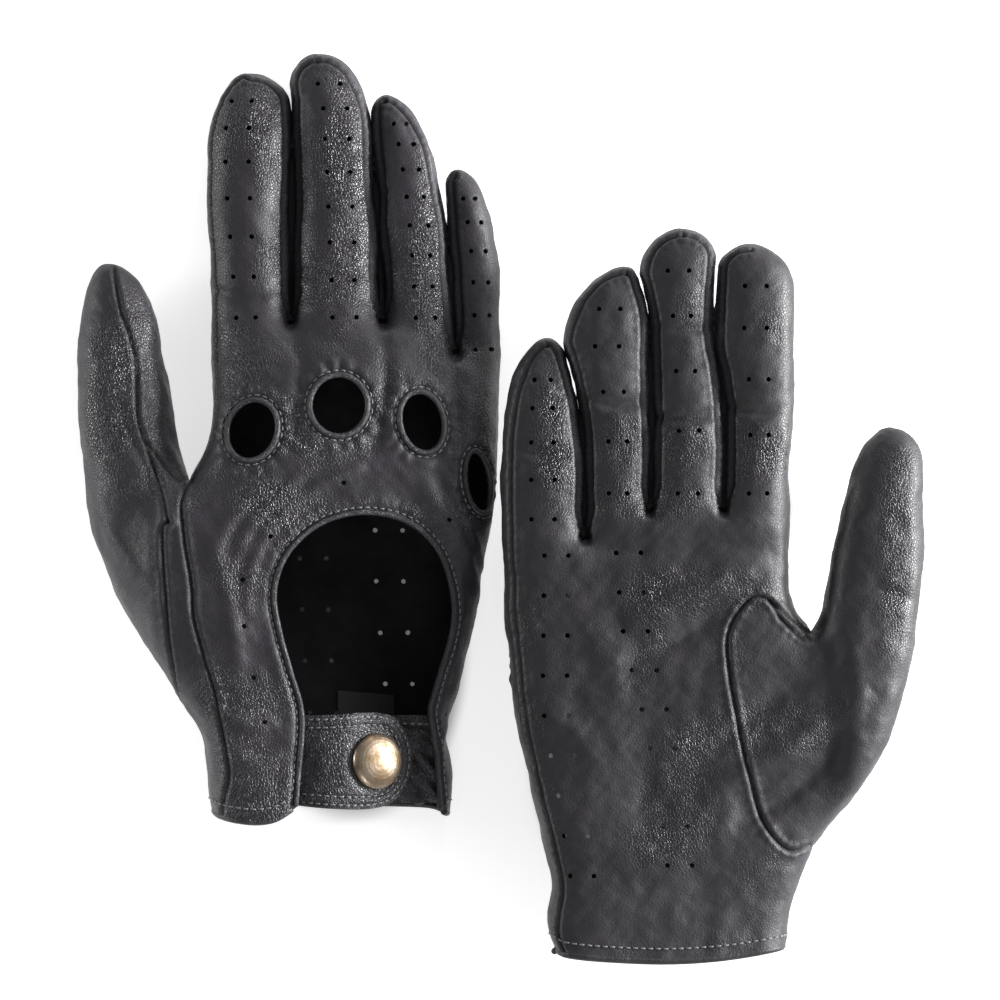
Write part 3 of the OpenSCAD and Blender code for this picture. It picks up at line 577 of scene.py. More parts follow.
# Seam between the back and the palm's leather on the thumb side
BACK_SEAM = [
    [[-94.2, 6.4], [-95.4, 3.2], [-96.1, -1.2], [-94.9, -12.2], [-93, -23.8], [-92.4, -33.6],
     [-89.4, -45.1], [-86, -56.4], [-83.6, -68.3], [-81.4, -80.2], [-83, -87.8], [-83.8, -93]],
    [[-94.4, -40.4], [-94, -43], [-93.5, -48], [-92.5, -56], [-91, -70], [-89.5, -85], [-87.5, -100],
     [-85, -115], [-82.5, -126], [-83, -136]],
]
# Thumb seams on the back, drawn on glove 1: its base, its long seam, and the gusset's outline
THUMB_BASE_SEAM = [[-100, -5.2], [-101.6, -6.9], [-101.6, -16.2], [-100.7, -27.8], [-99.7, -41.2],
                   [-98.2, -52], [-97.2, -59]]
THUMB_LONG_SEAM = [[-117.4, 72], [-115.3, 60.4], [-112.2, 50.6], [-110.4, 42.7], [-109.8, 27.1],
                   [-106.8, 17.1], [-103.4, 8.2], [-101, -0.3], [-100, -5.2]]
GUSSET = [[-106.8, 18.6], [-96.9, 6.9], [-94.4, 6.4], [-95.5, 2.6], [-97.5, -1], [-100, -5.2],
          [-101, -0.3], [-103.4, 8.2]]
# Thumb lobe and gusset in the palm, drawn on glove 2
LOBE = [[-92.3, -40.6], [-85.5, -34.5], [-82, -29], [-75.9, -28.4], [-69.5, -38.1], [-69.5, -50],
        [-72.3, -66.5], [-75.9, -82.7], [-80.2, -96.4], [-87.5, -104.6], [-94.6, -103.6]]
PALM_GUSSET = [[-94.6, -41.4], [-94.2, -38.9], [-88, -33.8], [-82, -29], [-85.5, -34.5], [-91.8, -40.9]]

# Keyhole in the back, wrist slot included, and knuckle holes: centre, half sizes, lean in degrees
KEYHOLE = [[-18.6, -93], [-19.4, -78], [-21.4, -64], [-19.8, -56], [-15.2, -40], [-14.6, -28],
           [-18.4, -15], [-27.5, -6], [-40.7, -3], [-53.5, -6.2], [-63.2, -14.8], [-67.1, -26],
           [-65.6, -38], [-62.4, -50], [-58.9, -62.7], [-59.5, -78], [-60.6, -93]]
# How far these lie from their places on glove 1, along the glove, and across and along it
KEYHOLE_SHIFT = [0, -43]
KNUCKLES = [[-74.8, 22.7, 6.9, 8.6, -18], [-48.5, 30.2, 8, 8.5, 0], [-23.3, 25.1, 5.8, 8.6, 13],
            [-6.1, 7, 3.1, 8.8, 8]]
KNUCKLE_SHIFT = [[0, 0], [-2.4, -56]]
# Width of the bound edges
BAND_W = 1.6
# How much the leather gathers round the keyhole, as a part of how much it does round a knuckle hole
KEYHOLE_GATHER = 0.25
# How far the edges of the pieces sink at a seam
EDGE_SINK = 0.06

# Rows of small holes down each finger: how far across at the tip and at the bottom, and their number
FINGER_DOTS = [[[0.2, 0.32, 7], [0.48, 0.565, 7]], [[0.41, 0.457, 8], [0.72, 0.718, 8]],
               [[0.45, 0.47, 8], [0.71, 0.74, 8]], [[0.45, 0.45, 6], [0.75, 0.8, 6]]]
PALM_FINGER_DOTS = [[0.36, 0.36, 5], [0.64, 0.64, 5]]
# How far below the tip and above the gap the rows end, on the back and on the palm side
DOT_ENDS = [[9.3, 1.4], [13, 5.5]]
# Small holes beside the keyhole
KEYHOLE_DOTS = [[-47, 6.7], [-69, -9.5], [-77.5, -22.6], [-77, -36.6], [-74.1, -52.2], [-70.8, -65.6],
                [-15.6, -4.3], [-7.7, -38.7], [-11.7, -52.2], [-15.7, -64]]
# Columns of paired holes in the palm: line as [y, x], width of a pair, first row, spacing, rows
PALM_DOTS = [
    [[[[-90, -25.5], [-55, -26.5], [-39.2, -28], [-23.5, -29.3], [40, -30]], -8.4, 23.6, -15.7, 7],
     [[[-90, -47], [-40, -52], [40, -54]], -8, 15, -15.7, 6]],
    [[[[-112, -21.4], [-89, -18], [-64, -13.7], [-40, -13.4], [-15, -13.7]], -7.3, -15.3, -12.1, 9],
     [[[-109, -50.9], [-85, -47.9], [-61, -43], [-40, -37.8], [-14.6, -35.4]], -7.5, -14.6, -11.8, 9]],
]
# Radius of the small holes
DOT_R = 0.76

# Folds: on the back (0) or the palm (1), path, height and half width
FOLDS = [
    [[0, [[-56, 12], [-66, 4], [-76, -8], [-82, -22]], 0.9, 2.4],
     [0, [[-61, 14], [-73, 5], [-83, -8], [-88, -24]], 0.7, 2.6],
     [0, [[-52, 7], [-61, 1], [-70, -8], [-75, -20], [-76, -34]], 0.7, 2.0],
     [0, [[-40, 12], [-48, 9], [-58, 5]], 0.81, 1.8],
     [0, [[-28, 13], [-18, 1], [-10, -14], [-6, -30]], 1.35, 2.4],
     [0, [[-18, 12], [-12, 0], [-7, -12], [-4, -24]], 0.94, 1.8],
     [0, [[-34, 14], [-24, 4], [-15, -8], [-10, -24]], 0.94, 2.2],
     [0, [[-62, 52], [-60, 40], [-61, 26], [-66, 14]], -1.08, 2.6],
     [0, [[-35, 52], [-34, 40], [-36, 26], [-38, 14]], -1.08, 2.6],
     [0, [[-13, 42], [-13, 30], [-12, 18]], -0.94, 2.2],
     [0, [[-90, -6], [-84, -20], [-80, -38], [-77, -58]], 0.81, 2.6],
     [0, [[-86, -62], [-76, -66], [-66, -66]], 0.94, 2.2],
     [0, [[-84, -74], [-74, -77], [-64, -75]], 0.81, 2.0],
     [0, [[-12, -62], [-17, -70], [-18, -82]], 0.68, 2.0],
     [0, [[-116, 34], [-112, 22], [-106, 10], [-103, -6]], -0.68, 2.0],
     [0, [[-124, 6], [-118, -8], [-110, -20], [-104, -30]], 0.94, 3.0],
     [0, [[-88, 66], [-78, 63], [-66, 66]], -0.68, 1.8],
     [0, [[-62, 72], [-50, 69], [-38, 72]], -0.68, 1.8],
     [1, [[-37, -5], [-60, 6], [-82, 20]], 1.08, 4.0]],
    [[1, [[-37, -36], [-58, -27], [-83, -17]], 1.76, 4.5],
     [1, [[-36, -48], [-56, -40], [-70, -30]], -1.22, 3.0],
     [1, [[-61, -90], [-80, -78], [-98, -66], [-113, -56]], 1.62, 4.5],
     [1, [[-70, -98], [-88, -88], [-104, -74]], -1.22, 3.0],
     [1, [[-64, -76], [-74, -66], [-88, -56], [-104, -48]], -1.08, 3.2],
     [1, [[-50, -60], [-44, -80], [-46, -104]], -0.81, 5.0],
     [1, [[-20, -30], [-30, -40], [-38, -60]], 0.94, 5.0],
     [1, [[-10, -60], [-22, -68], [-32, -84]], 0.81, 4.0],
     [1, [[-16, -8], [-40, -14], [-66, -12], [-86, -14]], -1.08, 3.5],
     [1, [[-45, 32], [-36, 30], [-26, 32]], -1.35, 1.7],
     [1, [[-66, 28], [-56, 26], [-46, 27]], -1.35, 1.7],
     [1, [[-88, 30], [-78, 28], [-68, 30]], -1.08, 1.7],
     [1, [[-22, 16], [-14, 15], [-4, 17]], -1.08, 1.6],
     [1, [[-66, 54], [-56, 53], [-46, 54]], -0.68, 1.5],
     [1, [[-126, -30], [-116, -26], [-104, -28]], -1.08, 2.4],
     [1, [[-124, -6], [-117, -4], [-108, -6]], -0.81, 2.0],
     [0, [[-40, -36], [-58, -44], [-72, -60]], 1.08, 3.0]],
]

# Strap: its outline, and its height over the snap's middle as [x, z]
STRAP_OUTLINE = [[-65, -63.8], [-50, -63.5], [-38, -62.9], [-31.6, -64.6], [-27.6, -69.6], [-26, -77],
                 [-27.6, -84.8], [-32, -90.2], [-39, -92.2], [-50, -92], [-58, -91.4], [-65, -90.6]]
STRAP_RISE = [[-66, 1.8], [-60, 4.2], [-53, 5.75], [-47.5, 5.6], [-44, 4.25], [-37.2, 0], [-24, -8.25]]
# Middle of the snap, its height on each glove, and its slope
SNAP = [-37.2, -77.7]
SNAP_Z = [27.63, 25.73]
SNAP_SLOPE = 0.625
# Radius of the hole for the snap in the strap and in the tab
SNAP_HOLE_R = 1.6
# Thickness of the strap's two layers
FLAP_T, LINING_T = 1.4, 1.1
# How far the stud's tab lies to the thumb's side of the cap's middle and below it
TAB_DROP = [3.55, 5.68]
# How much longer glove 1's hand is than glove 2's, from the thumb's crotch
HAND_STRETCH = 1.037


def to_glove(points, drawn_on, g):
    """A path drawn on one glove, moved to the same place on glove g."""
    p = np.asarray(points, float).copy()
    if drawn_on == 0 and g == 1:
        p[:, 1] = (p[:, 1] - CROTCH_Y[0]) / HAND_STRETCH + CROTCH_Y[1]
    if drawn_on == 1 and g == 0:
        p[:, 1] = (p[:, 1] - CROTCH_Y[1]) * HAND_STRETCH + CROTCH_Y[0]
    return p


def keyhole_path(g, grow, step=STEP):
    """Edge of the keyhole from the wrist's little-finger side round to its thumb side."""
    path = spline(np.asarray(KEYHOLE) + [0, KEYHOLE_SHIFT[g]], step)
    return path + path_normals(path) * grow


def binding_path(g, step=STEP):
    """Middle of the keyhole's bound edge, with its ends on the wrist's edge."""
    path = keyhole_path(g, BAND_W / 2, step)
    path[0, 1] = path[-1, 1] = WRIST_Y[g]
    return path


def knuckle_path(g, h, grow, step=STEP):
    """Edge of a knuckle hole, grown outwards."""
    cx, cy, rx, ry, lean = KNUCKLES[h]
    a = angles(72)
    x, y = (rx + grow) * np.cos(a), (ry + grow) * np.sin(a)
    c, s = math.cos(math.radians(lean)), math.sin(math.radians(lean))
    at = np.array([cx, cy]) + KNUCKLE_SHIFT[g]
    return resample(np.stack([at[0] + x * c - y * s, at[1] + x * s + y * c], 1), step, closed=True)


def finger_dots(g, side):
    """Middles of the small holes along the fingers."""
    made = []
    below_tip, above_gap = DOT_ENDS[side]
    for f in range(4):
        low = max(GAPS[g][max(f - 1, 0)][0][0], GAPS[g][min(f, 2)][0][0])
        left = finger_edge(g, f, 0)
        right = finger_edge(g, f, 1)
        for u0, u1, n in PALM_FINGER_DOTS if side else FINGER_DOTS[f]:
            t = np.linspace(0, 1, n) ** 1.15
            top, end = TIPS[g][f][1] - below_tip, low + above_gap
            y = top + t * (end - top)
            u = u0 + (u1 - u0) * t
            a, b = np.interp(y, left[:, 1], left[:, 0]), np.interp(y, right[:, 1], right[:, 0])
            made.append(np.stack([a + (b - a) * u, y], 1))
    return np.vstack(made)


def dots(g, side):
    """Middles of all the small holes of one face."""
    made = [finger_dots(g, side)]
    if side == 0:
        made.append(to_glove(KEYHOLE_DOTS, 0, g))
    else:
        for line, gap, first, spacing, rows in PALM_DOTS[g]:
            y = first + spacing * np.arange(rows)
            x = curve(line, y)
            made += [np.stack([x, y], 1), np.stack([x + gap, y], 1)]
    return np.vstack(made)


def add_lines(shape):
    """Gives a shape its seams, bound edges and folds as lines in space."""
    g = shape.g

    def on(path, side):
        return shape.flat_point(resample(path, PATH_STEP), side)

    def sewn(points, drawn_on, side):
        return on(spline(to_glove(points, drawn_on, g), PATH_STEP), side)

    back_rim, palm_rim = shape.rims
    seams = []
    for k in BETWEEN_FINGERS:
        here = shape.section == k
        seams += [(on(back_rim[here], 0), 0.62), (on(palm_rim[here], 1), 0.62)]
    top = shape.section == 2
    seams.append((np.vstack([on(back_rim[top][::-1], 0), on(spline(BACK_SEAM[g], PATH_STEP), 0)]), 0.58))
    seams.append((on(palm_rim[shape.section == 6], 1), 0.58))
    seams.append((sewn(THUMB_BASE_SEAM, 0, 0), 0.58))
    seams.append((sewn(THUMB_LONG_SEAM, 0, 0), 0.62))
    seams.append((on(to_glove(GUSSET[:2], 0, g), 0), 0.5))
    seams.append((sewn(LOBE, 1, 1), 0.68))
    seams.append((sewn(PALM_GUSSET[1:4], 1, 1), 0.58))
    shape.seams = [(Near(path), deep) for path, deep in seams]
    holes = [knuckle_path(g, h, 0) for h in range(len(KNUCKLES))]
    edges = [np.vstack([hole, hole[:1]]) for hole in holes] + [keyhole_path(g, 0)]
    shape.bound = [Near(on(edge, 0)) for edge in edges]
    shape.folds = [(side, Near(on(spline(path, 1.0), side)), amp, width)
                   for side, path, amp, width in FOLDS[g]]


# ---- meshes -----------------------------------------------------------------------------------


def outside(points, holes):
    """Which points lie in none of the holes."""
    keep = np.ones(len(points), bool)
    for hole in holes:
        near = np.abs(points - hole.mean(0)).max(1) < np.ptp(hole, axis=0).max()
        keep[near] &= ~inside(points[near], hole)
    return keep


def lattice(loop, step):
    """Points of a triangular lattice that lie inside a loop."""
    lo, hi = loop.min(0), loop.max(0)
    x = np.arange(lo[0], hi[0], step)
    y = np.arange(lo[1], hi[1], step * math.sqrt(3) / 2)
    gx, gy = np.meshgrid(x, y)
    gx = gx + (np.arange(len(y)) % 2)[:, None] * step / 2
    grid = np.stack([gx.ravel(), gy.ravel()], 1)
    return grid[inside(grid, loop)]


def triangulate(loops, lines, step):
    """Triangles inside the first loop and outside the others, with lines kept as edges. The points
    of the first loop keep their numbers."""
    points = np.vstack(loops + lines)
    edges, at = [], 0
    for loop in loops:
        n = len(loop)
        edges += [(at + i, at + (i + 1) % n) for i in range(n)]
        at += n
    for line in lines:
        edges += [(at + i, at + i + 1) for i in range(len(line) - 1)]
        at += len(line)
    tree = search_tree(points)
    grid = lattice(loops[0], step)
    grid = grid[outside(grid, loops[1:])]
    far = np.array([tree.find((q[0], q[1], 0))[2] for q in grid]) > 0.62 * step
    every = np.vstack([points, grid[far]])
    made, _, faces, orig, _, _ = delaunay_2d_cdt([Vector(q) for q in every.tolist()], edges, [], 0, 1e-6)
    xy = np.array([every[o[0]] if o else (v.x, v.y) for v, o in zip(made, orig)])
    faces = np.array(faces)
    middle = xy[faces].mean(1)
    faces = faces[inside(middle, loops[0]) & outside(middle, loops[1:])]
    first = {o: i for i, os in enumerate(orig) for o in os}
    rim = np.array([first[i] for i in range(len(loops[0]))])
    a, b, c = xy[faces[:, 0]], xy[faces[:, 1]], xy[faces[:, 2]]
    turned = (b[:, 0] - a[:, 0]) * (c[:, 1] - a[:, 1]) < (b[:, 1] - a[:, 1]) * (c[:, 0] - a[:, 0])
    faces[turned] = faces[turned][:, ::-1]
    return xy, faces, rim


def to_nearest(line, rim):
    """The line with its ends moved onto the nearest points of a rim."""
    line = line.copy()
    for end in (0, -1):
        d = np.linalg.norm(rim - line[end], axis=1)
        if d.min() < 3:
            line[end] = rim[d.argmin()]
    d = np.array([np.linalg.norm(rim - q, axis=1).min() for q in line])
    keep = d > 0.45 * STEP
    keep[0] = keep[-1] = True
    return line[keep]


def point_normals(v, faces):
    """Unit normals at the points of a mesh of triangles, each triangle counting by its area."""
    n = np.zeros_like(v)
    m = np.cross(v[faces[:, 1]] - v[faces[:, 0]], v[faces[:, 2]] - v[faces[:, 0]])
    for k in range(3):
        np.add.at(n, faces[:, k], m)
    return unit_rows(n)


def back_sheet(shape):
    """Flat triangles of the back, with all its openings, and the numbers of its rim's points."""
    g, rim = shape.g, shape.rims[0]
    key = binding_path(g)
    wrist = [resample([a, b], STEP)[1:-1] for a, b in ((rim[-1], key[0]), (key[-1], rim[0]))]
    loops = [np.vstack([rim, wrist[0], key, wrist[1]])]
    loops += [knuckle_path(g, h, BAND_W / 2) for h in range(len(KNUCKLES))]
    loops += [ring(at, DOT_R) for at in dots(g, 0)]
    seams = (BACK_SEAM[g], to_glove(THUMB_BASE_SEAM, 0, g), to_glove(THUMB_LONG_SEAM, 0, g))
    return triangulate(loops, [to_nearest(spline(p, STEP), rim) for p in seams], STEP)


def palm_sheet(shape):
    """Flat triangles of the palm, with its small holes, and the numbers of its rim's points."""
    g, rim = shape.g, shape.rims[1]
    wrist = resample([rim[-1], rim[0]], STEP)[1:-1]
    loops = [np.vstack([rim, wrist])] + [ring(at, DOT_R) for at in dots(g, 1)]
    return triangulate(loops, [to_nearest(spline(to_glove(LOBE, 1, g), STEP), rim)], STEP)


def side_rows(shape, levels):
    """Rows of points round the glove's sides, at levels between 1, the back's rim, and -1, the palm's."""
    full = np.zeros(len(shape.points))
    for k in BETWEEN_FINGERS:
        here = shape.section == k
        tip = min(TIPS[shape.g][k - 3][1], TIPS[shape.g][k - 2][1])
        below = tip - FOURCHETTE_START - shape.points[here, 1]
        full[here] = FOURCHETTE_FULL * ease(below / FOURCHETTE_GROWS)
    rows = []
    for v in levels:
        e = (shape.insets[:, 0] if v > 0 else shape.insets[:, 1]) * v * v
        p = shape.points + shape.normals * (e - full * (1 - v * v))[:, None]
        if abs(v) < 1e-9:
            rows.append(np.column_stack([p, shape.middle(p)[0]]))
        else:
            rows.append(shape.flat_point(p, 0 if v > 0 else 1))
    return rows


def skin(shape):
    """The whole outer skin: points, triangles, the piece that each triangle belongs to, the painted shade
    in the seams' grooves, and normals."""
    g, n = shape.g, len(shape.points)
    top_xy, top_f, top_rim = back_sheet(shape)
    low_xy, low_f, low_rim = palm_sheet(shape)
    levels = np.linspace(1, -1, SIDE_CELLS + 1)[1:-1]
    flat = [shape.flat_point(top_xy, 0), shape.flat_point(low_xy, 1)]
    v = np.vstack(flat + side_rows(shape, levels))
    side = np.concatenate([np.zeros(len(top_xy)), np.ones(len(low_xy))]
                          + [np.full(n, 0.5 - 0.5 * level) for level in levels])
    start = len(top_xy)
    grid = [top_rim[:n]] + [start + len(low_xy) + j * n + np.arange(n) for j in range(len(levels))]
    grid.append(start + low_rim[:n])
    strip, where = [], []
    for a, b in zip(grid, grid[1:]):
        strip += [np.stack([a[:-1], a[1:], b[:-1]], 1), np.stack([a[1:], b[1:], b[:-1]], 1)]
        where += [shape.section[:-1]] * 2
    strip = np.vstack(strip)
    faces = np.vstack([top_f, (low_f + start)[:, ::-1], strip])
    piece = np.concatenate([top_pieces(g, top_xy[top_f].mean(1)), low_pieces(g, low_xy[low_f].mean(1)),
                            strip_pieces(shape, v[strip].mean(1), np.concatenate(where))])
    high, dark = shape.detail(v, side)
    v = shape.warp(v + point_normals(v, faces) * high[:, None])
    return v, faces, piece, dark, point_normals(v, faces)


def ring(at, r, n=9):
    """Points round a small hole."""
    a = angles(n)
    return np.stack([at[0] + r * np.cos(a), at[1] + r * np.sin(a)], 1)


# Names of the skin's pieces, in the order of their numbers
PIECES = ["back_panel", "palm_panel", "fourchette_index_middle", "fourchette_middle_ring",
          "fourchette_ring_little", "thumb", "thumb_quirk"]


def top_pieces(g, p):
    """The number of the piece that each place on the back belongs to."""
    piece = np.zeros(len(p), int)
    seam = spline(BACK_SEAM[g], 1)
    piece[inside(p, np.vstack([seam, [[-140, seam[-1, 1]], [-140, seam[0, 1]]]]))] = 1
    base = spline(to_glove(THUMB_BASE_SEAM, 0, g), 1)
    crotch = to_glove(GUSSET[1:6], 0, g)
    thumb = np.vstack([base[::-1], crotch[::-1], [[crotch[0, 0], 200], [-200, 200], [-200, base[-1, 1]]]])
    piece[inside(p, thumb) & (p[:, 0] < crotch[:, 0].max())] = 5
    piece[inside(p, to_glove(GUSSET, 0, g))] = 6
    return piece


def low_pieces(g, p):
    """The number of the piece that each place on the palm belongs to."""
    piece = np.ones(len(p), int)
    lobe = spline(to_glove(LOBE, 1, g), 1)
    away = [[-200, lobe[-1, 1]], [-200, 200], [lobe[0, 0], 200]]
    piece[inside(p, np.vstack([lobe, away]))] = 5
    piece[inside(p, to_glove(PALM_GUSSET, 1, g))] = 6
    return piece


def strip_pieces(shape, p, section):
    """The number of the piece that each place on the glove's sides belongs to."""
    piece = np.choose(section, [1, 5, 1, 2, 3, 4, 0])
    crotch = shape.points[np.flatnonzero(shape.section == 2)[0]]
    near = np.linalg.norm(p[:, :2] - crotch, axis=1) < 2.2
    piece[near & (p[:, 1] < crotch[1] + 2.5)] = 6
    return piece


def place(g, p):
    """From a glove's own millimetres to the frame's metres."""
    p = np.asarray(p, float)
    if g == 0:
        return (p - [0, 0, REST_Z]) * MM
    return (p * [-1, 1, -1] + [0, 0, TURNED_H]) * MM


def build(name, v, faces, mats, dark=None, sharp=None, index=None):
    """A mesh object from points in metres."""
    mesh = bpy.data.meshes.new(name)
    mesh.from_pydata(v.tolist(), [], [list(f) for f in faces])
    for mat in mats:
        mesh.materials.append(mat)
    mesh.shade_smooth()
    if index is not None:
        mesh.polygons.foreach_set("material_index", index.astype(np.int32))
    # The painted shade in the seams' grooves goes on the points as the seam attribute.
    if dark is not None:
        mesh.attributes.new("seam", "FLOAT", "POINT").data.foreach_set("value", dark.astype(np.float32))
    if sharp is not None:
        wanted = set(map(tuple, np.sort(sharp, 1).tolist()))
        ends = np.empty(2 * len(mesh.edges), np.int32)
        mesh.edges.foreach_get("vertices", ends)
        flags = [tuple(e) in wanted for e in np.sort(ends.reshape(-1, 2), 1).tolist()]
        mesh.edges.foreach_set("use_edge_sharp", flags)
    mesh.update()
    obj = bpy.data.objects.new(name, mesh)
    bpy.context.scene.collection.objects.link(obj)
    return obj


def border(faces):
    """Directed edges that have a triangle on one side only."""
    e = np.vstack([faces[:, [0, 1]], faces[:, [1, 2]], faces[:, [2, 0]]])
    big = faces.max() + 1
    code, back = e[:, 0] * big + e[:, 1], e[:, 1] * big + e[:, 0]
    return e[~np.isin(code, back)]


def leather_piece(name, g, v, faces, thick, mats, dark, normals=None, sink=0.0):
    """A closed piece of leather: the outer face, an inner face and the cut edge between them. Its edge
    sinks a little, and dark is the painted shade in its seams' grooves."""
    used, faces = np.unique(faces, return_inverse=True)
    faces = faces.reshape(-1, 3)
    v = v[used]
    n = point_normals(v, faces) if normals is None else normals[used]
    edge = border(faces)
    outer = v.copy()
    outer[np.unique(edge)] -= n[np.unique(edge)] * sink
    count = len(v)
    rim = np.vstack([np.stack([edge[:, 1], edge[:, 0], edge[:, 0] + count], 1),
                     np.stack([edge[:, 1], edge[:, 0] + count, edge[:, 1] + count], 1)])
    every = np.vstack([faces, faces[:, ::-1] + count, rim])
    index = np.repeat([0, 1, 2], [len(faces), len(faces), len(rim)])
    points = place(g, np.vstack([outer, v - n * thick]))
    return build(name, points, every, mats, np.tile(dark[used], 2), np.vstack([edge, edge + count]), index)


# Sides of a band's section, and the length of one of its lumps
TUBE_SIDES = 10
LUMP_L = 2.4
# Length of a stitch, the sides and radius of its thread, and its height over the leather
STITCH_L = 1.65
THREAD_SIDES, THREAD_R = 6, 0.28
STITCH_LIFT = 0.16
# Rings of a stitch: place as a part of its length, part of the radius, and how far it dips
STITCH = [[-0.5, 0.35, 0.22], [-0.42, 0.8, 0.1], [-0.22, 1, 0], [0.22, 1, 0], [0.42, 0.8, 0.1],
          [0.5, 0.35, 0.22]]


def tube(path, normals, half_w, half_h, closed, lump):
    """A band of flattened round section along a path on a surface, slightly lumpy along its length."""
    n = len(path)
    t = unit_rows(directions(path, closed))
    across = unit_rows(np.cross(t, normals))
    up = np.cross(across, t)
    a = angles(TUBE_SIDES)
    grow = 1 + lump * np.sin(lengths(path) * 2 * math.pi / LUMP_L)
    v = (path[:, None] + across[:, None] * (np.cos(a) * half_w)[None, :, None]
         + up[:, None] * (np.sin(a)[None, :, None] * (half_h * grow)[:, None, None]))
    return v.reshape(-1, 3), tube_faces(n, TUBE_SIDES, closed)


def tube_faces(n, sides, closed=False):
    """Faces of a tube with n rings of points, and of its two ends where it isn't closed."""
    faces = []
    for i in range(n if closed else n - 1):
        a, b = i * sides, (i + 1) % n * sides
        faces += [(a + k, a + (k + 1) % sides, b + (k + 1) % sides, b + k) for k in range(sides)]
    if not closed:
        faces.append(tuple(range(sides - 1, -1, -1)))
        faces.append(tuple((n - 1) * sides + k for k in range(sides)))
    return faces


def stitches(path, normals, pitch=2.3):
    """Short threads along a path on a surface."""
    s = lengths(path)
    n = max(1, int(s[-1] / pitch))
    at = (np.arange(n) + 0.5) * s[-1] / n
    ahead = rows_at(np.minimum(at + 0.6, s[-1]), s, path)
    behind = rows_at(np.maximum(at - 0.6, 0), s, path)
    t = unit_rows(ahead - behind)
    side = unit_rows(np.cross(t, unit_rows(rows_at(at, s, normals))))
    up = np.cross(side, t)
    a = angles(THREAD_SIDES)
    parts = []
    for c, tt, ss, uu in zip(rows_at(at, s, path), t, side, up):
        rings = []
        for along, size, drop in STITCH:
            o = c + tt * along * STITCH_L + uu * (STITCH_LIFT - drop)
            rings.append(o + THREAD_R * size * (np.cos(a)[:, None] * ss + np.sin(a)[:, None] * uu))
        parts.append((np.vstack(rings), tube_faces(len(STITCH), THREAD_SIDES)))
    return join(parts)


def join(parts):
    """One set of points and faces from several."""
    v, faces, at = [], [], 0
    for points, fs in parts:
        v.append(points)
        faces += [tuple(i + at for i in f) for f in fs]
        at += len(points)
    return np.vstack(v), faces


# ---- materials --------------------------------------------------------------------------------


class Nodes:
    """Short way to write a material's nodes."""

    def __init__(self, name):
        self.mat = bpy.data.materials.new(name)
        self.mat.use_nodes = True
        self.tree = self.mat.node_tree
        self.shader = self.tree.nodes["Principled BSDF"]
        self.where = self.add("ShaderNodeTexCoord").outputs["Object"]

    def add(self, kind, **values):
        node = self.tree.nodes.new(kind)
        for key, value in values.items():
            setattr(node, key, value)
        return node

    def link(self, a, b):
        self.tree.links.new(a, b)

    def put(self, socket, value):
        """Links a socket to a node's output, or sets it to a number."""
        if hasattr(value, "links"):
            self.link(value, socket)
        else:
            socket.default_value = value

    def noise(self, scale, detail=2.0):
        node = self.add("ShaderNodeTexNoise")
        node.inputs["Scale"].default_value = scale
        node.inputs["Detail"].default_value = detail
        self.link(self.where, node.inputs["Vector"])
        return node.outputs["Fac"]

    def voronoi(self, scale, feature, where=None):
        node = self.add("ShaderNodeTexVoronoi", feature=feature)
        node.inputs["Scale"].default_value = scale
        self.link(where or self.where, node.inputs["Vector"])
        return node.outputs["Distance"]

    def math(self, operation, a, b):
        node = self.add("ShaderNodeMath", operation=operation)
        self.put(node.inputs[0], a)
        self.put(node.inputs[1], b)
        return node.outputs[0]

    def plus(self, a, b):
        return self.math("ADD", a, b)

    def times(self, a, b):
        return self.math("MULTIPLY", a, b)

    def range(self, value, a, b, c, d, smooth=False):
        """A value moved from the range a to b onto the range c to d."""
        node = self.add("ShaderNodeMapRange", interpolation_type="SMOOTHSTEP" if smooth else "LINEAR")
        self.put(node.inputs["Value"], value)
        for key, number in zip(("From Min", "From Max", "To Min", "To Max"), (a, b, c, d)):
            node.inputs[key].default_value = number
        return node.outputs[0]

    def axis(self, k, middle, half):
        """Square of the distance from a middle along one axis, in half sizes."""
        part = self.add("ShaderNodeSeparateXYZ")
        self.link(self.where, part.inputs[0])
        at = self.math("DIVIDE", self.math("SUBTRACT", part.outputs[k], middle), half)
        return self.times(at, at)

    def mix(self, fac, a, b):
        node = self.add("ShaderNodeMix", data_type="RGBA")
        self.put(node.inputs[0], fac)
        self.put(node.inputs[6], a if hasattr(a, "links") else (*a, 1))
        self.put(node.inputs[7], b if hasattr(b, "links") else (*b, 1))
        return node.outputs[2]

    def mark(self, name):
        """A value that the mesh carries at its points."""
        return self.add("ShaderNodeAttribute", attribute_name=name).outputs["Fac"]

    def bump(self, height, strength, distance, below=None):
        node = self.add("ShaderNodeBump")
        node.inputs["Strength"].default_value = strength
        node.inputs["Distance"].default_value = distance
        self.link(height, node.inputs["Height"])
        if below is not None:
            self.link(below, node.inputs["Normal"])
        return node.outputs["Normal"]

    def finish(self, **values):
        """Sets the shader's sockets, with _ for a space in their names."""
        for key, value in values.items():
            self.put(self.shader.inputs[key.replace("_", " ")], value)
        return self.mat


# Ovals where each glove's leather is worn glossy, in the frame's mm: middle and half sizes
WORN = [[[-118, 30, 8, 26], [-70, 112, 6, 20], [-46, 100, 7, 34], [-20, 75, 6, 34], [-8, 12, 7, 22],
         [-62, 24, 9, 9], [-66, 0, 16, 7]],
        [[56, 20, 9, 8], [37, 19, 8, 9], [19, 12, 8, 8], [44, 2, 20, 7], [76, 16, 8, 10], [60, -26, 24, 8],
         [82, -68, 24, 9], [121, -10, 6, 24], [15, 20, 6, 14], [55, -88, 12, 22]]]
# Grains in a metre
GRAIN_CELLS = 1150
# How coarse the grain may get
COARSEST = 1.6


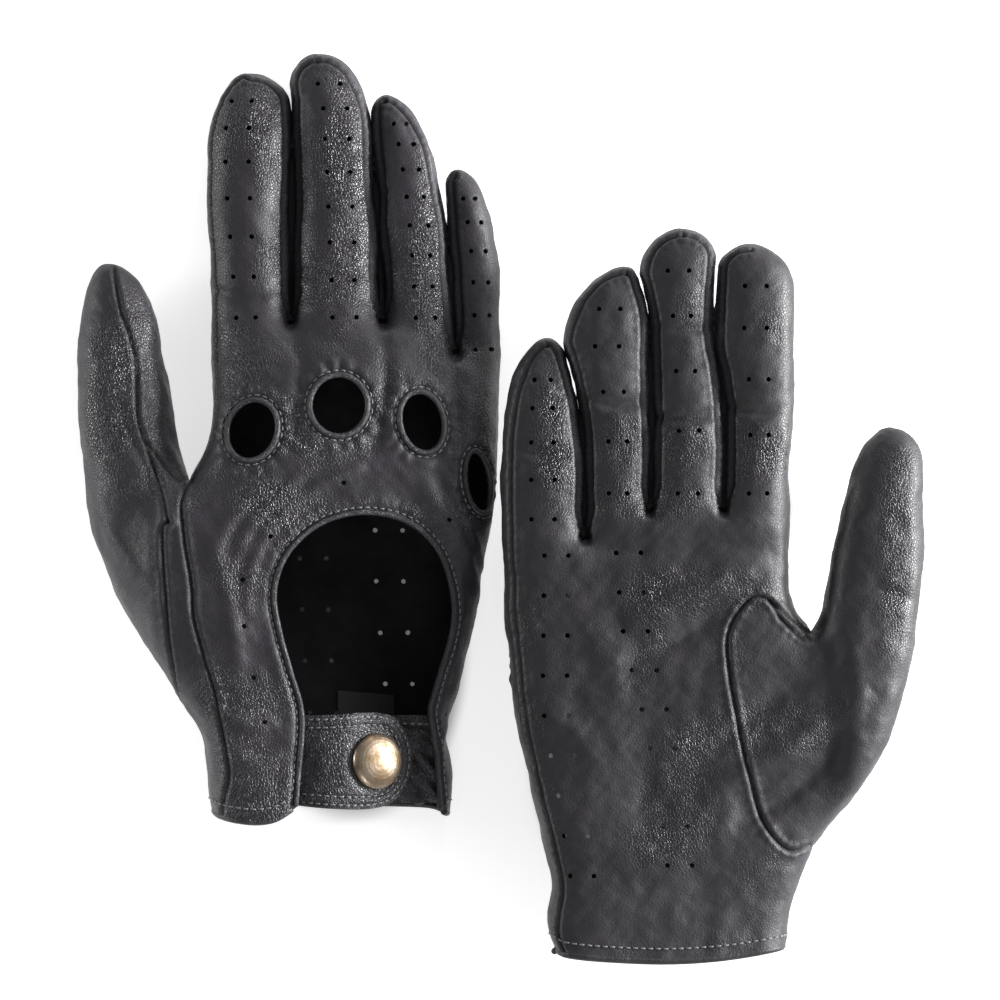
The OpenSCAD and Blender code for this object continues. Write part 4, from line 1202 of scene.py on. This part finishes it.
def leather(name, dark, light, rough, grain=1.0, matt=0.42, worn=()):
    """Pebbled leather: round grains parted by fine creases, darker in the creases, with painted shade in
    the seams' grooves. It is coarse and glossy in some patches and in the worn ovals, and fine and matt
    elsewhere."""
    m = Nodes(name)
    warp = m.add("ShaderNodeVectorMath", operation="MULTIPLY_ADD")
    wobble = m.add("ShaderNodeTexNoise")
    wobble.inputs["Scale"].default_value = 500
    m.link(m.where, wobble.inputs["Vector"])
    m.link(wobble.outputs["Color"], warp.inputs[0])
    warp.inputs[1].default_value = (0.0006,) * 3
    m.link(m.where, warp.inputs[2])
    where = warp.outputs[0]
    crease = m.range(m.voronoi(GRAIN_CELLS, "DISTANCE_TO_EDGE", where), 0, 0.22, 0, 1, smooth=True)
    dome = m.range(m.voronoi(GRAIN_CELLS, "F1", where), 0, 0.9, 1, 0)
    fine = m.noise(5200, 2)
    patch = m.range(m.noise(60, 2), 0.35, 0.7, 0, 1)
    height = m.plus(m.times(crease, 0.55), m.times(dome, 0.45))
    height = m.plus(height, m.times(fine, 0.16))
    coarse = m.range(m.noise(38, 2), matt, matt + 0.2, 0, 1, smooth=True)
    for x, y, half_x, half_y in worn:
        away = m.plus(m.axis(0, x * MM, half_x * MM), m.axis(1, y * MM, half_y * MM))
        coarse = m.plus(coarse, m.range(away, 0.3, 1.6, 0.9, 0, smooth=True))
    coarse = m.math("MINIMUM", coarse, COARSEST)
    height = m.times(height, m.range(coarse, 0, COARSEST, 0.45, 1.9))
    normal = m.bump(height, 1.0, 0.00011 * grain)
    normal = m.bump(m.noise(420, 3), 0.5, 0.00015, normal)
    seam = m.mark("seam")
    colour = m.mix(patch, dark, light)
    colour = m.mix(m.times(m.range(crease, 0, 1, 1, 0), 0.5), colour, (0.006, 0.006, 0.0066))
    # Painted shade: the seams' grooves darken towards black.
    colour = m.mix(m.times(seam, 0.85), colour, (0.003, 0.003, 0.0034))
    roughness = m.plus(m.range(coarse, 0, COARSEST, rough + 0.2, rough - 0.03),
                       m.plus(m.range(crease, 0, 1, 0.14, 0), m.times(seam, 0.3)))
    return m.finish(Base_Color=colour, Roughness=roughness, Normal=normal, Specular_IOR_Level=0.55)


def suede(name):
    """The napped flesh side of the leather."""
    m = Nodes(name)
    nap = m.noise(2600, 3)
    colour = m.mix(m.noise(180, 3), (0.008, 0.0078, 0.009), (0.02, 0.019, 0.022))
    return m.finish(Base_Color=colour, Roughness=0.95, Normal=m.bump(nap, 0.8, 0.0002),
                    Specular_IOR_Level=0.2)


def cut_edge(name):
    """The raw cut edge, with its fibres."""
    m = Nodes(name)
    colour = m.mix(m.noise(1500, 3), (0.012, 0.0115, 0.0125), (0.03, 0.028, 0.031))
    return m.finish(Base_Color=colour, Roughness=0.8, Normal=m.bump(m.noise(3500, 2), 0.7, 0.0002))


def binding(name):
    """Thin skived leather that binds the edges: finer grained and smoother."""
    m = Nodes(name)
    cells = m.range(m.voronoi(1900, "DISTANCE_TO_EDGE"), 0, 0.2, 0, 1, smooth=True)
    colour = m.mix(m.noise(220, 2), (0.016, 0.0138, 0.018), (0.028, 0.0245, 0.031))
    normal = m.bump(m.plus(m.times(cells, 0.6), m.noise(900, 3)), 0.9, 0.00016)
    return m.finish(Base_Color=colour, Roughness=m.range(cells, 0, 1, 0.46, 0.36), Normal=normal,
                    Specular_IOR_Level=0.55)


def thread(name):
    """Twisted waxed black thread, coloured grey: painted highlight for its glints."""
    m = Nodes(name)
    twist = m.noise(3000, 1)
    # The twist varies the tone; the grey in place of black is painted highlight.
    colour = m.mix(twist, (0.08, 0.078, 0.084), (0.2, 0.196, 0.206))
    return m.finish(Base_Color=colour, Roughness=0.38, Normal=m.bump(twist, 0.6, 0.0001))


def aged_metal(name):
    """Antique nickel over brass: olive-brown patches on grey metal, finely scratched."""
    m = Nodes(name)
    patch = m.range(m.noise(230, 4), 0.38, 0.62, 0, 1)
    speck = m.range(m.noise(1400, 3), 0.45, 0.7, 0, 1)
    colour = m.mix(patch, (0.42, 0.34, 0.26), (0.2, 0.14, 0.085))
    colour = m.mix(m.times(speck, 0.5), colour, (0.09, 0.075, 0.055))
    rough = m.plus(m.range(patch, 0, 1, 0.34, 0.46), m.times(speck, 0.12))
    return m.finish(Base_Color=colour, Metallic=1.0, Roughness=rough,
                    Normal=m.bump(m.noise(1800, 3), 0.35, 0.0001))


def woven(name):
    """Closely woven tape."""
    m = Nodes(name)
    threads = []
    for direction in "XY":
        wave = m.add("ShaderNodeTexWave", wave_type="BANDS", bands_direction=direction)
        wave.inputs["Scale"].default_value = 900
        m.link(m.where, wave.inputs["Vector"])
        threads.append(wave.outputs["Fac"])
    height = m.times(*threads)
    colour = m.mix(height, (0.02, 0.02, 0.022), (0.07, 0.07, 0.076))
    return m.finish(Base_Color=colour, Roughness=0.75, Normal=m.bump(height, 0.8, 0.00015))


# Glow of the paper, and the ovals under the gloves where it is dimmer, painted shade under the gloves:
# middle and half sizes in m, and the part of the glow that is left
FLOOR_GLOW = 0.65
PAINTED_SHADE_SPOTS = [[0.05, -0.065, 0.04, 0.07, 0.0], [0.05, 0.0, 0.042, 0.03, 0.0],
              [-0.06, -0.04, 0.0205, 0.05, 0.0], [-0.045, -0.045, 0.034, 0.05, 0.14]]


def floor_material(name):
    """Plain white paper, lit through from below so that it stays white, with painted shade under the
    gloves where the glow is less.
    """
    m = Nodes(name)
    colour = m.mix(m.noise(30, 2), (0.90, 0.90, 0.90), (0.92, 0.92, 0.92))
    glow = FLOOR_GLOW
    # Painted shade: the glow drops inside each oval under the gloves.
    for x, y, half_x, half_y, left in PAINTED_SHADE_SPOTS:
        away = m.plus(m.axis(0, x, half_x), m.axis(1, y, half_y))
        glow = m.times(m.range(away, 0.8, 1.2, left, 1, smooth=True), glow)
    return m.finish(Base_Color=colour, Roughness=0.9, Emission_Color=(1, 1, 1, 1), Emission_Strength=glow)


# ---- pieces -----------------------------------------------------------------------------------


class Kit:
    """The materials that the pieces share."""

    def __init__(self):
        self.skin = [leather("glove1_leather", (0.0162, 0.0135, 0.0189), (0.0238, 0.02, 0.0274), 0.28,
                             worn=WORN[0]),
                     leather("glove2_leather", (0.0088, 0.007, 0.0107), (0.015, 0.0123, 0.0179), 0.3, 0.8,
                             matt=0.5, worn=WORN[1])]
        self.strap = leather("strap_leather", (0.014, 0.012, 0.0165), (0.022, 0.0188, 0.0255), 0.27, 1.3,
                             matt=0.1)
        # The fourchettes' smoother leather has a lighter base colour than the gloves': painted light that
        # lifts the shade between the fingers.
        self.smooth = leather("fourchette_leather_painted_light", (0.026, 0.022, 0.03), (0.036, 0.031, 0.041), 0.34, 0.6)
        self.suede = suede("suede")
        self.edge = cut_edge("cut_edge")
        self.binding = binding("binding")
        self.thread = thread("thread")
        self.metal = aged_metal("aged_metal")
        self.woven = woven("woven_label")

    def sides(self, g, smooth=False):
        """A leather piece's outer face, flesh side and cut edge."""
        return [self.smooth if smooth else self.skin[g], self.suede, self.edge]


def body(g, strap=False):
    """Name of a glove's body, or of its strap's."""
    return "glove%d%s" % (g + 1, "_strap" if strap else "")


def node(g, name):
    """Name of one of a glove's nodes or pieces."""
    return "glove%d_%s" % (g + 1, name)


def settle(obj, where, slot, *nodes):
    """Gives a piece its body, and hides the nodes it stands for. slot is not used."""
    if where:
        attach(obj, where)
    if nodes:
        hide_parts(*nodes)


def make_skin(shape, kit):
    """The panels, the fourchettes, the thumb and its gusset."""
    g = shape.g
    v, faces, piece, dark, n = skin(shape)
    for k, name in enumerate(PIECES):
        obj = leather_piece(node(g, name) + "_skin", g, v, faces[piece == k], LEATHER_T,
                            kit.sides(g, "fourchette" in name), dark, n, EDGE_SINK)
        settle(obj, body(g), "leather", node(g, name))


# Half the width and height of a bound edge's round section, and how deep its middle lies
BAND_HALF = [BAND_W / 2 + 0.1, 0.95]
BAND_SINK = 0.25
# The same for the wrist's wider band
WRIST_HALF = [1.15, 1.0]
WRIST_SINK = 0.8


def band(shape, kit, name, path, closed):
    """A bound edge along a flat path on the back."""
    at, n = shape.skin_point(path, 0, -BAND_SINK)
    v, faces = tube(at, n, *BAND_HALF, closed, lump=0.07)
    obj = build(node(shape.g, name) + "_band", place(shape.g, v), faces, [kit.binding])
    settle(obj, body(shape.g), "binding", node(shape.g, name))


def make_bindings(shape, kit):
    """The bound edges of the knuckle holes, the keyhole and the wrist."""
    g = shape.g
    for h, name in enumerate(("facing_index", "facing_middle", "facing_ring", "facing_little")):
        band(shape, kit, name, knuckle_path(g, h, BAND_W / 2, PATH_STEP), True)
    band(shape, kit, "keyhole_binding", binding_path(g, PATH_STEP), False)
    at, n = wrist_path(shape, 0.0, WRIST_SINK)
    v, faces = tube(at, n, *WRIST_HALF, False, lump=0.04)
    obj = build(node(g, "wrist_binding_band"), place(g, v), faces, [kit.skin[g]])
    settle(obj, body(g), "binding", node(g, "wrist_binding"))


def even_out(rows):
    """Running mean of five rows, with the ends kept."""
    wide = np.pad(rows, ((2, 2), (0, 0)), mode="edge")
    made = sum(wide[k:k + len(rows)] for k in range(5)) / 5
    made[[0, -1]] = rows[[0, -1]]
    return made


# Points at each end of the outline among which the wrist's edge and its stitches lie, and the spacing
# of the points round the wrist
NEAR_WRIST = 200
WRIST_STEP = 0.7
# Rows of stitches, by their distance from the knuckle holes, the keyhole and the wrist's edge
KNUCKLE_ROW, KEYHOLE_ROW, WRIST_ROW = 2.2, 2.3, 3.6


def wrist_path(shape, up, depth):
    """Path round the wrist from the slot's thumb side under the palm to its far side, and its normals.
    It runs a height up from the wrist's edge and a depth below the skin."""
    y = WRIST_Y[shape.g] + up
    key = keyhole_path(shape.g, BAND_W / 2)
    back_rim, palm_rim = shape.rims
    first = int(np.argmin(np.abs(shape.points[:NEAR_WRIST, 1] - y)))
    last = len(shape.points) - NEAR_WRIST + int(np.argmin(np.abs(shape.points[-NEAR_WRIST:, 1] - y)))
    parts = []

    def along(x0, x1, side):
        x = np.linspace(x0, x1, max(3, int(abs(x1 - x0) / WRIST_STEP)))
        parts.append(shape.skin_point(np.stack([x, np.full(len(x), y)], 1), side, -depth))

    def round_side(i, way):
        t = np.linspace(0.9, -0.9, 13) * way
        e = np.where(t > 0, shape.insets[i, 0], shape.insets[i, 1]) * t * t
        p = shape.points[i] + shape.normals[i] * e[:, None]
        z = np.where(t > 0, shape.back(p), shape.palm(p))
        z = np.where(np.abs(t) < 1e-6, shape.middle(p)[0], z)
        n = unit_rows(np.column_stack([-shape.normals[i][None, :] * (1 - t * t)[:, None], t]))
        q = np.column_stack([p, z])
        off = shape.detail(q, 0.5 - 0.5 * t)[0] - depth
        parts.append((shape.warp(q + n * off[:, None]), n))

    along(key[-1, 0] - 1.2, back_rim[first, 0], 0)
    round_side(first, 1)
    along(palm_rim[first, 0], palm_rim[last, 0], 1)
    round_side(last, -1)
    along(back_rim[last, 0], key[0, 0] + 1.2, 0)
    at, n = (np.vstack(rows) for rows in zip(*parts))
    keep = np.r_[True, np.linalg.norm(np.diff(at, axis=0), axis=1) > 0.15]
    s = lengths(at[keep])
    even = np.linspace(0, s[-1], int(s[-1] / WRIST_STEP))
    return even_out(rows_at(even, s, at[keep])), unit_rows(even_out(rows_at(even, s, n[keep])))


def make_stitches(shape, kit):
    """The stitches round the knuckle holes, the keyhole and the wrist."""
    g = shape.g
    parts = []
    for h in range(len(KNUCKLES)):
        path = knuckle_path(g, h, KNUCKLE_ROW, PATH_STEP)
        path = path[path[:, 0] < curve(LITTLE_SIDE[g], path[:, 1]) - 0.6]
        parts.append(stitches(*shape.skin_point(path, 0)))
    parts.append(stitches(*shape.skin_point(keyhole_path(g, KEYHOLE_ROW, PATH_STEP)[4:-4], 0)))
    parts.append(stitches(*wrist_path(shape, WRIST_ROW, 0.0)))
    obj = build(node(g, "seam_stitches"), *placed(g, join(parts)), [kit.thread])
    settle(obj, body(g), "binding")


def placed(g, made):
    """Points and faces, with the points moved to where the glove lies."""
    return place(g, made[0]), made[1]


# Rows of stitches in the strap, by their distance from its edge
STRAP_ROWS = [1.3, 3.8]
# Width of the strap's rounded edge and how deep it goes, and where that starts, past the hidden root
STRAP_ROUND, STRAP_ROUND_DEPTH = 0.9, 0.55
STRAP_ROUND_X = -63
# Seeds of its long and short waves
STRAP_SEEDS = [31, 33]


def strap_height(g, x):
    """Height of the strap's upper face."""
    return SNAP_Z[g] + curve(STRAP_RISE, x)


def strap_place(g, xy, depth):
    """Points at depths below the strap's upper face, and its normals."""
    x = xy[:, 0]
    slope = (strap_height(g, x + 0.05) - strap_height(g, x - 0.05)) / 0.1
    n = unit_rows(np.stack([-slope, np.zeros(len(x)), np.ones(len(x))], 1))
    y = xy[:, 1] + KEYHOLE_SHIFT[g]
    return np.column_stack([x, y, strap_height(g, x)]) - n * depth[:, None], n


def strap_sheet(inset, step):
    """Flat triangles of one layer of the strap, and its edge."""
    edge = spline(STRAP_OUTLINE, step * 0.7)
    edge = resample(edge, step * 0.8, closed=True)
    edge = edge + path_normals(edge, closed=True) * inset
    xy, faces, _ = triangulate([edge, ring(SNAP, SNAP_HOLE_R, 16)], [], step)
    return xy, faces, edge


def flap_face(g, xy, edge):
    """How deep the strap's upper face lies and the painted shade in its seams' grooves: it has a rounded
    edge, two rows of sunk stitches, a ring round the cap and small waves."""
    d = Near(np.vstack([edge, edge[:1]]), 0.3)(xy)[0]
    out = (STRAP_ROUND - np.minimum(d, STRAP_ROUND)) / STRAP_ROUND
    fall = STRAP_ROUND_DEPTH * (1 - np.sqrt(np.clip(1 - out ** 2, 0, 1)))
    depth = np.where(xy[:, 0] > STRAP_ROUND_X, fall, 0)
    outer, inner = STRAP_ROWS
    depth = depth + 0.28 * (bell(d - outer, 0.45) + bell(d - inner, 0.45))
    depth = depth - 0.12 * bell(d - 2.5, 0.7)
    around = np.linalg.norm((xy - SNAP) / [0.85, 1], axis=1)
    depth = depth + 0.25 * bell(around - 9.3, 1.2)
    calm = ease((around - 9.5) / 5)
    flat = in_space(xy)
    long, short = waves(flat, 13, STRAP_SEEDS[0] + g), waves(flat, 4, STRAP_SEEDS[1])
    depth = depth - calm * (0.18 * long + 0.05 * short)
    # The second value is painted shade in the grooves of the two stitch rows.
    return depth, np.maximum(bell(d - outer, 0.4), bell(d - inner, 0.4)) * 0.5


def make_strap(shape, kit):
    """The strap's two layers and its stitches."""
    g = shape.g
    layers = [("strap_flap", FLAP_T - 0.02, 0.0, "leather", [kit.strap, kit.suede, kit.edge]),
              ("strap_lining", LINING_T, 0.25, "suede", [kit.suede, kit.suede, kit.edge])]
    for name, thick, inset, slot, mats in layers:
        xy, faces, edge = strap_sheet(inset, STEP * FINER)
        if name == "strap_flap":
            depth, dark = flap_face(g, xy, edge)
        else:
            depth, dark = np.full(len(xy), FLAP_T), np.zeros(len(xy))
        v = strap_place(g, xy, depth)[0]
        obj = leather_piece(node(g, name) + "_strip", g, v, faces, thick, mats, dark)
        settle(obj, None, slot, node(g, name))
        bend_strap(obj)
    rows = [strap_row(inset) for inset in STRAP_ROWS]
    made = join([stitches(*strap_place(g, row, np.full(len(row), 0.2)), pitch=2.25) for row in rows])
    obj = build(node(g, "strap_stitches"), *placed(g, made), [kit.thread])
    settle(obj, None, "binding")
    bend_strap(obj)


def bend_strap(obj):
    """Moves a piece of the strap's transform into its points."""
    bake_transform(obj)


def strap_row(inset):
    """A row of stitches inside the strap's outline, over its free part."""
    path = spline(STRAP_OUTLINE, 0.5)
    path = path + path_normals(path) * inset
    return path[path[:, 0] > -60.5]


# Base tab: ends at the thumb's side and at the slot's far edge, half its width, its thickness, and the
# seed of its waves
TAB_X = [-46.4, -17.6]
TAB_HALF = 13.6
TAB_T = 1.6
TAB_SEED = 41


def tab_height(shape, x):
    """Height of the base tab's upper face: parallel to the strap under the snap, then out to the edge."""
    g = shape.g
    at = SNAP[0] - TAB_DROP[0]
    z = SNAP_Z[g] - TAB_DROP[1]
    edge = shape.back(np.array([[TAB_X[1] - 1, SNAP[1] + KEYHOLE_SHIFT[g]]]))[0] - LEATHER_T - 0.5
    line = [[at - 6, z + 6 * SNAP_SLOPE], [at, z], [at + 5.2, z - 5.2 * SNAP_SLOPE],
            [at + 9.5, z - 7.2 * SNAP_SLOPE], [-24, (z - 8 * SNAP_SLOPE) * 0.6 + edge * 0.4],
            [TAB_X[1] + 0.2, edge]]
    return curve(line, x)


def make_tab(shape, kit):
    """The tab under the strap, with a folded hem and creases where it runs out to the slot's edge."""
    g = shape.g
    yc = SNAP[1] + KEYHOLE_SHIFT[g]
    step = STEP * FINER
    (left, right), top = TAB_X, yc + TAB_HALF
    corners = [[left, yc - 12.9], [left, yc + 12.9], [-44, top], [right, top], [right, yc - 13.2],
               [-44, yc - 13.2]]
    hole = ring([SNAP[0] - TAB_DROP[0], yc], SNAP_HOLE_R, 16)
    xy, faces, _ = triangulate([resample(corners, step, closed=True), hole], [], step)
    z = tab_height(shape, xy[:, 0])
    d = top - xy[:, 1]
    groove = bell(d - 3.6, 0.5)
    fold = 0.5 * ease((3.2 - d) / 0.8) - 0.35 * groove
    slant = (xy[:, 0] + 24) * 0.75 + (xy[:, 1] - yc)
    crease = 0.8 * np.cos(slant * 2 * math.pi / 7.5 + 0.6 * np.sin(xy[:, 0] * 0.5))
    calm = ease((xy[:, 0] + 34) / 6)
    small = 0.15 * waves(np.column_stack([xy, z]), 7, TAB_SEED + g)
    z = z + calm * (fold + crease * ease((d - 6) / 4) + small)
    # groove * calm is painted shade in the hem's groove.
    obj = leather_piece(node(g, "base_tab_strip"), g, np.column_stack([xy, z]), faces, TAB_T,
                        [kit.strap, kit.suede, kit.edge], groove * calm)
    settle(obj, body(g), "leather", node(g, "base_tab"))
    x = np.linspace(-30, -18.2, 30)
    row = np.column_stack([x, np.full(len(x), yc + 11), tab_height(shape, x) + 0.35])
    made = stitches(row, np.tile([0.0, 0.0, 1.0], (len(x), 1)), pitch=2.2)
    obj = build(node(g, "tab_stitches"), *placed(g, made), [kit.thread])
    settle(obj, body(g), "binding")


# Label: middle, size and thickness, how far it lies over the palm's inside, and how it leans
LABEL = [-40.8, -64.6, 17.1, 14.0, 0.5]
LABEL_LIFT = 0.35
LABEL_LEAN = 0.09


def make_label(shape, kit):
    """The woven label inside the palm."""
    g = shape.g
    cx, cy, w, h, t = LABEL
    n, m = 18, 15
    x, y = np.meshgrid(np.linspace(-w / 2, w / 2, n), np.linspace(-h / 2, h / 2, m))
    x, y = x.ravel(), y.ravel()
    p = np.stack([cx + x, cy + KEYHOLE_SHIFT[g] + y - LABEL_LEAN * x], 1)
    z = shape.palm(p) + LEATHER_T + t + LABEL_LIFT + 0.25 * np.sin(x * 0.5)
    i, j = np.meshgrid(np.arange(n - 1), np.arange(m - 1))
    a = (j * n + i).ravel()
    faces = np.vstack([np.stack([a, a + 1, a + n + 1], 1), np.stack([a, a + n + 1, a + n], 1)])
    obj = leather_piece(node(g, "size_label_tape"), g, np.column_stack([p, z]), faces, t,
                        [kit.woven] * 3, np.zeros(len(p)))
    settle(obj, body(g), "label", node(g, "size_label"))


def finish_metal(g, kit):
    """Gives the snap's CAD parts their metal."""
    for name in ("snap_cap", "snap_socket", "snap_stud", "snap_eyelet"):
        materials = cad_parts[node(g, name)].data.materials
        materials.clear()
        materials.append(kit.metal)


def make_glove(g, kit):
    """All the pieces of one glove."""
    shape = Shape(g)
    add_lines(shape)
    for make in (make_skin, make_bindings, make_stitches, make_strap, make_tab, make_label):
        make(shape, kit)
    finish_metal(g, kit)


# ---- set --------------------------------------------------------------------------------------


def make_floor():
    """The white paper that the gloves lie on."""
    bpy.ops.mesh.primitive_plane_add(size=6, location=(0, 0, -0.0002))
    floor = bpy.context.object
    floor.name = "floor"
    floor.data.materials.append(floor_material("white_paper"))


# Soft lights: azimuth, elevation, distance, size and power
LIGHTS = {"light_right": [6, 12, 1.2, (0.6, 0.3), 42],
          "light_right_wide": [4, 30, 1.3, (1.1, 0.9), 6],
          "light_left": [174, 13, 1.3, (0.4, 0.2), 8],
          "light_far": [75, 20, 1.4, (0.5, 0.2), 5],
          "light_near": [-90, 30, 1.4, (0.5, 0.3), 4]}
WORLD_LIGHT = 0.22
# Camera: its distance over the floor, the width that it sees at the gloves' middle height, that height,
# and the place that it looks at
CAMERA_DISTANCE, FIELD, FIELD_HEIGHT = 2.2, 0.305, 0.014
CAMERA_AIM = [0.0003, 0.0015]


def light(name, azimuth, elevation, distance, size, power):
    """A soft light that faces the gloves."""
    data = bpy.data.lights.new(name, "AREA")
    data.shape = "RECTANGLE"
    data.size, data.size_y = size
    data.energy = power
    obj = bpy.data.objects.new(name, data)
    a, e = math.radians(azimuth), math.radians(elevation)
    at = Vector((math.cos(a) * math.cos(e), math.sin(a) * math.cos(e), math.sin(e))) * distance
    obj.location = at
    obj.rotation_mode = "QUATERNION"
    obj.rotation_quaternion = (-at).to_track_quat("-Z", "Y")
    bpy.context.scene.collection.objects.link(obj)


def make_lights():
    """The lights and the world's even light."""
    for name, values in LIGHTS.items():
        light(name, *values)
    world = bpy.data.worlds.new("studio")
    world.use_nodes = True
    background = world.node_tree.nodes["Background"]
    background.inputs["Color"].default_value = (1, 1, 1, 1)
    background.inputs["Strength"].default_value = WORLD_LIGHT
    bpy.context.scene.world = world


def make_camera():
    """A camera straight above the gloves."""
    data = bpy.data.cameras.new("camera")
    data.sensor_width = 36
    data.lens = data.sensor_width * (CAMERA_DISTANCE - FIELD_HEIGHT) / FIELD
    data.clip_start, data.clip_end = 0.1, 10
    cam = bpy.data.objects.new("camera", data)
    cam.location = (*CAMERA_AIM, CAMERA_DISTANCE)
    bpy.context.scene.collection.objects.link(cam)
    bpy.context.scene.camera = cam


kit = Kit()
for glove in (0, 1):
    make_glove(glove, kit)
make_floor()
make_lights()
make_camera()
bpy.context.scene.view_settings.view_transform = "Standard"
